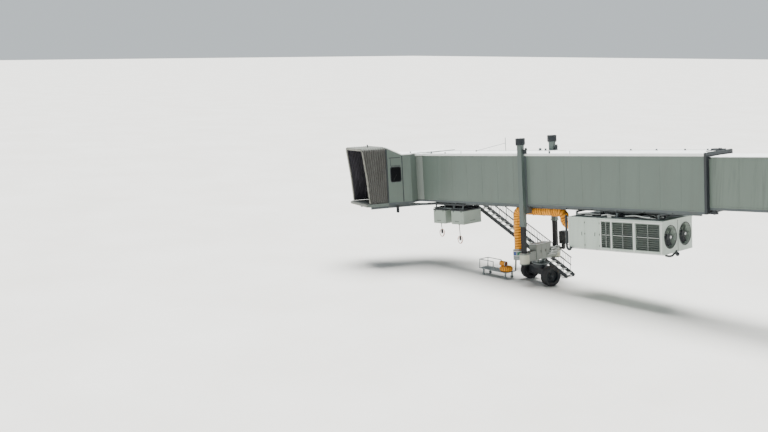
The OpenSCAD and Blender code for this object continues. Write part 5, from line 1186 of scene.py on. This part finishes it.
trays = boards([[0.0, -1.10, -0.34, 3.1, -0.98, -0.22], [0.25, -0.6, -0.40, 2.9, -0.35, -0.24],
                [0.3, 0.2, -0.44, 2.9, 0.4, -0.22]])
conduits = tubes(runs, [0.022 + 0.006 * (i % 3) for i in range(len(runs))])
piece("hoist_conduits", joined(conduits, trays), on_outer, "dark_coat", smooth=50)

# %% [markdown]
# ## Stair and landing
# Open grating is far too fine for its own mesh here, but its nosings, cross bars and the stringers'
# flanges are what the eye takes as a stair. The balusters stand upright between the rails.

# %% Stair nosings, flanges and landing bars
STAIR_Y0, STAIR_Y1, TREADS, FIRST_TREAD = 1.94, 2.70, 22, 0.33
rise = np.radians(STAIR_RISE)
# The stair ends 110 mm over the ground: its length is the hinge's height less that, over the rise's sine
STAIR_LEN = (STAIR[2, 3] - 0.11) / np.sin(rise)
run = (STAIR_LEN - FIRST_TREAD - 0.25) / (TREADS - 1)
nosing = boards([[0.09, STAIR_Y0 + 0.05, 0.0185, 0.118, STAIR_Y1 - 0.05, 0.022],
                 [0.1205, STAIR_Y0 + 0.05, -0.03, 0.124, STAIR_Y1 - 0.05, 0.0185]])
nosings = joined(*[placed(nosing, shift(FIRST_TREAD + i * run, 0, 0) @ turn("y", -STAIR_RISE)) for i in range(TREADS)])
flanges = boards([[0.1, y, z, STAIR_LEN - 0.1, y + 0.05, z + 0.014] for y in (STAIR_Y0 - 0.012, STAIR_Y1 - 0.038)
                  for z in (-0.115, 0.101)])
up = np.array([-np.sin(rise), 0, np.cos(rise)])


def upright_bar(x0, x1, y, low, high):
    """A bar's two ends, each a point on the stringer plus a height along the true vertical."""
    return [*((x0, y, 0) + low * up), *((x1, y, 0) + high * up)]


rail_ys = (STAIR_Y0 + 0.02, STAIR_Y1 - 0.02)
balusters = [upright_bar(x, x, y, 0.48, 0.93) for y in rail_ys for x in np.arange(0.55, STAIR_LEN - 0.3, 0.14)]
hand = [upright_bar(0.44, STAIR_LEN - 0.2, y, height, height) for y in rail_ys for height in (0.94, 0.475)]
piece("stair_flanges", joined(flanges, rods(balusters, 0.012, 6), rods(hand, 0.034, 10)), on_stair, "dark_coat")
piece("stair_nosings", nosings, on_stair, "tube_coat", bevel=0.004)
landing = [[-0.64, y, -0.02, 0.26, y + 0.006, -0.008] for y in np.arange(1.62, 2.72, 0.05)]
landing += [[t, 1.60, -0.02, t + 0.006, 2.72, -0.008] for t in np.arange(-0.60, 0.25, 0.10)]
landing += [[-0.65, 2.72, -0.02, 0.27, 2.732, 0.10], [-0.655, 1.60, -0.02, -0.643, 2.73, 0.10]]
piece("landing_grating", boards(landing), on_outer, "zinc_coat")

# %% [markdown]
# ## Lift frame details
# The columns get flanges with bolts under their drums, the motor box louvres, the cabinet doors and
# grips, the basket a painted band, and the base plate its anchor nuts. A bolt circle is one short
# rod repeated round a circle.

# %% Lift frame details
COLUMN_TOP, BASKET_R = 3.45, 0.355
on_basket = (OUTER @ shift(HOSE_X, HOSE_Y, level(1.37)), "legs")


def bolt_ring(centre, radius, count, size, height=0.02, sides=6):
    """Heads or studs spaced evenly round an upright axis through the centre."""
    a = circle(count)
    foot = np.add(centre, np.stack([radius * np.cos(a), radius * np.sin(a), 0 * a], 1))
    return rods(np.hstack([foot, foot + [0, 0, height]]), size, sides)


def at_column(z):
    """The near column's middle at a height."""
    return 0, -COLUMN_Y, z


flange = boards([[-0.19, -COLUMN_Y - 0.18, COLUMN_TOP - 0.035, 0.19, -COLUMN_Y + 0.18, COLUMN_TOP - 0.002]])
piece("column_flanges", both(flange, bolt_ring(at_column(COLUMN_TOP - 0.055), 0.225, 8, 0.014)), on_column,
      "column_coat", bevel=0.003)
rings = [hoop(0.282, 0.288, z, z + 0.03, 0.005, at=at_column(COLUMN_TOP)) for z in (0.05, 0.30)]
piece("drum_rings", both(*rings, bolt_ring(at_column(COLUMN_TOP + 0.378), 0.20, 6, 0.016, 0.016)), on_column,
      "navy_coat", smooth=30)
bands = [hoop(BASKET_R + 0.001, BASKET_R + 0.007, low, high, 0.004, 56) for low, high in ((0.50, 0.56), (0.24, 0.28))]
piece("basket_rings", joined(*bands), on_basket, "tube_coat", smooth=30)
# The band: thin curved patches, each over 34 degrees
patch = [(BASKET_R, 0.29), (BASKET_R + 0.006, 0.29), (BASKET_R + 0.006, 0.49), (BASKET_R, 0.49)]
for colour, starts in (("blue", (-118, 2, 122)), ("green", (-166, -70, 74))):
    patches = [bent(np.radians(np.linspace(start, start + 34, 14)), patch) for start in starts]
    piece("basket_band_" + colour, joined(*patches), on_basket, colour + "_coat")
louvres = [[0.438, 1.30, level(2.30) + 0.1 * i, 0.45, 1.68, level(2.30) + 0.1 * i + 0.03] for i in range(5)]
louvres += [[0.49 + 0.07 * i, COLUMN_Y - 0.262, level(2.26), 0.52 + 0.07 * i, COLUMN_Y - 0.25, level(2.85)]
            for i in range(5)]
piece("motor_box_louvres", boards(louvres), on_legs, "dark_coat", bevel=0.003)
doors = [[0.258, -0.66 + 0.45 * i, level(1.50), 0.268, -0.25 + 0.45 * i, level(2.31)] for i in range(3)]
doors += [[-0.24, -0.712, level(1.52), 0.24, -0.702, level(2.30)]]
feet = [hoop(0.283, 0.30, 0, 0.034, 0.004, at=at_column(level(h))) for h in (1.33, 1.88)]
piece("cabinet_doors", joined(boards(doors), both(*feet)), on_legs, "cabinet_coat", bevel=0.003)
piece("cabinet_lid", boards([[-0.275, -0.715, level(2.351), 0.275, 0.715, level(2.372)]]), on_legs, "tube_coat",
      bevel=0.004)
grips = rods([[0.285, y, level(1.85), 0.285, y, level(2.0)] for y in (-0.30, 0.15, 0.60)], 0.012, 8)
piece("cabinet_grips", grips, on_legs, "dark_coat", smooth=40)
studs = bolt_ring((0, 0, 0.042), 0.88, 12, 0.018, 0.078, 12)
piece("anchor_nuts", joined(bolt_ring((0, 0, 0.0405), 0.88, 12, 0.030, 0.045), studs), on_base, "zinc_coat")

# %% [markdown]
# ## Around the bogie
# Hydraulic lines run from the cabinet to the drive motors, the legs' feet have beige skins, and each
# column has a bracket at the roof. The lines hang loosely, so they use the wandering line.

# %% Lines, foot skins and brackets
lines = [wander((0.30, 0.30 + 0.12 * i, level(1.62 + 0.10 * i)), (0.42, 1.42, level(1.70 + 0.09 * i)),
                0.07, 2.0 * i, 18) for i in range(5)]
lines += [wander((-0.30, -0.50 + 0.2 * i, level(1.60)), (-0.24, 0.9, level(1.50 + 0.08 * i)), 0.05, 3 + i, 16)
          for i in range(3)]
piece("drive_lines", tubes(lines, [0.026 + 0.007 * (i % 2) for i in range(8)]), on_legs, "zinc_coat", smooth=50)
skin = hoop(0.2805, 0.286, 0.036, 0.546, steps=56, at=at_column(level(1.33)))
piece("foot_skins", both(skin), on_legs, "beige_coat", smooth=40)
bracket = [[0.152, 0.02, 2.93, 0.42, 0.05, 3.16], [0.152, -0.02, 3.14, 0.42, 0.12, 3.17],
           [0.30, 0.0, 3.17, 0.40, 0.10, 3.27]]
piece("column_brackets", both(wall_boards(bracket, -COLUMN_Y)), on_column, "dark_coat", bevel=0.003)
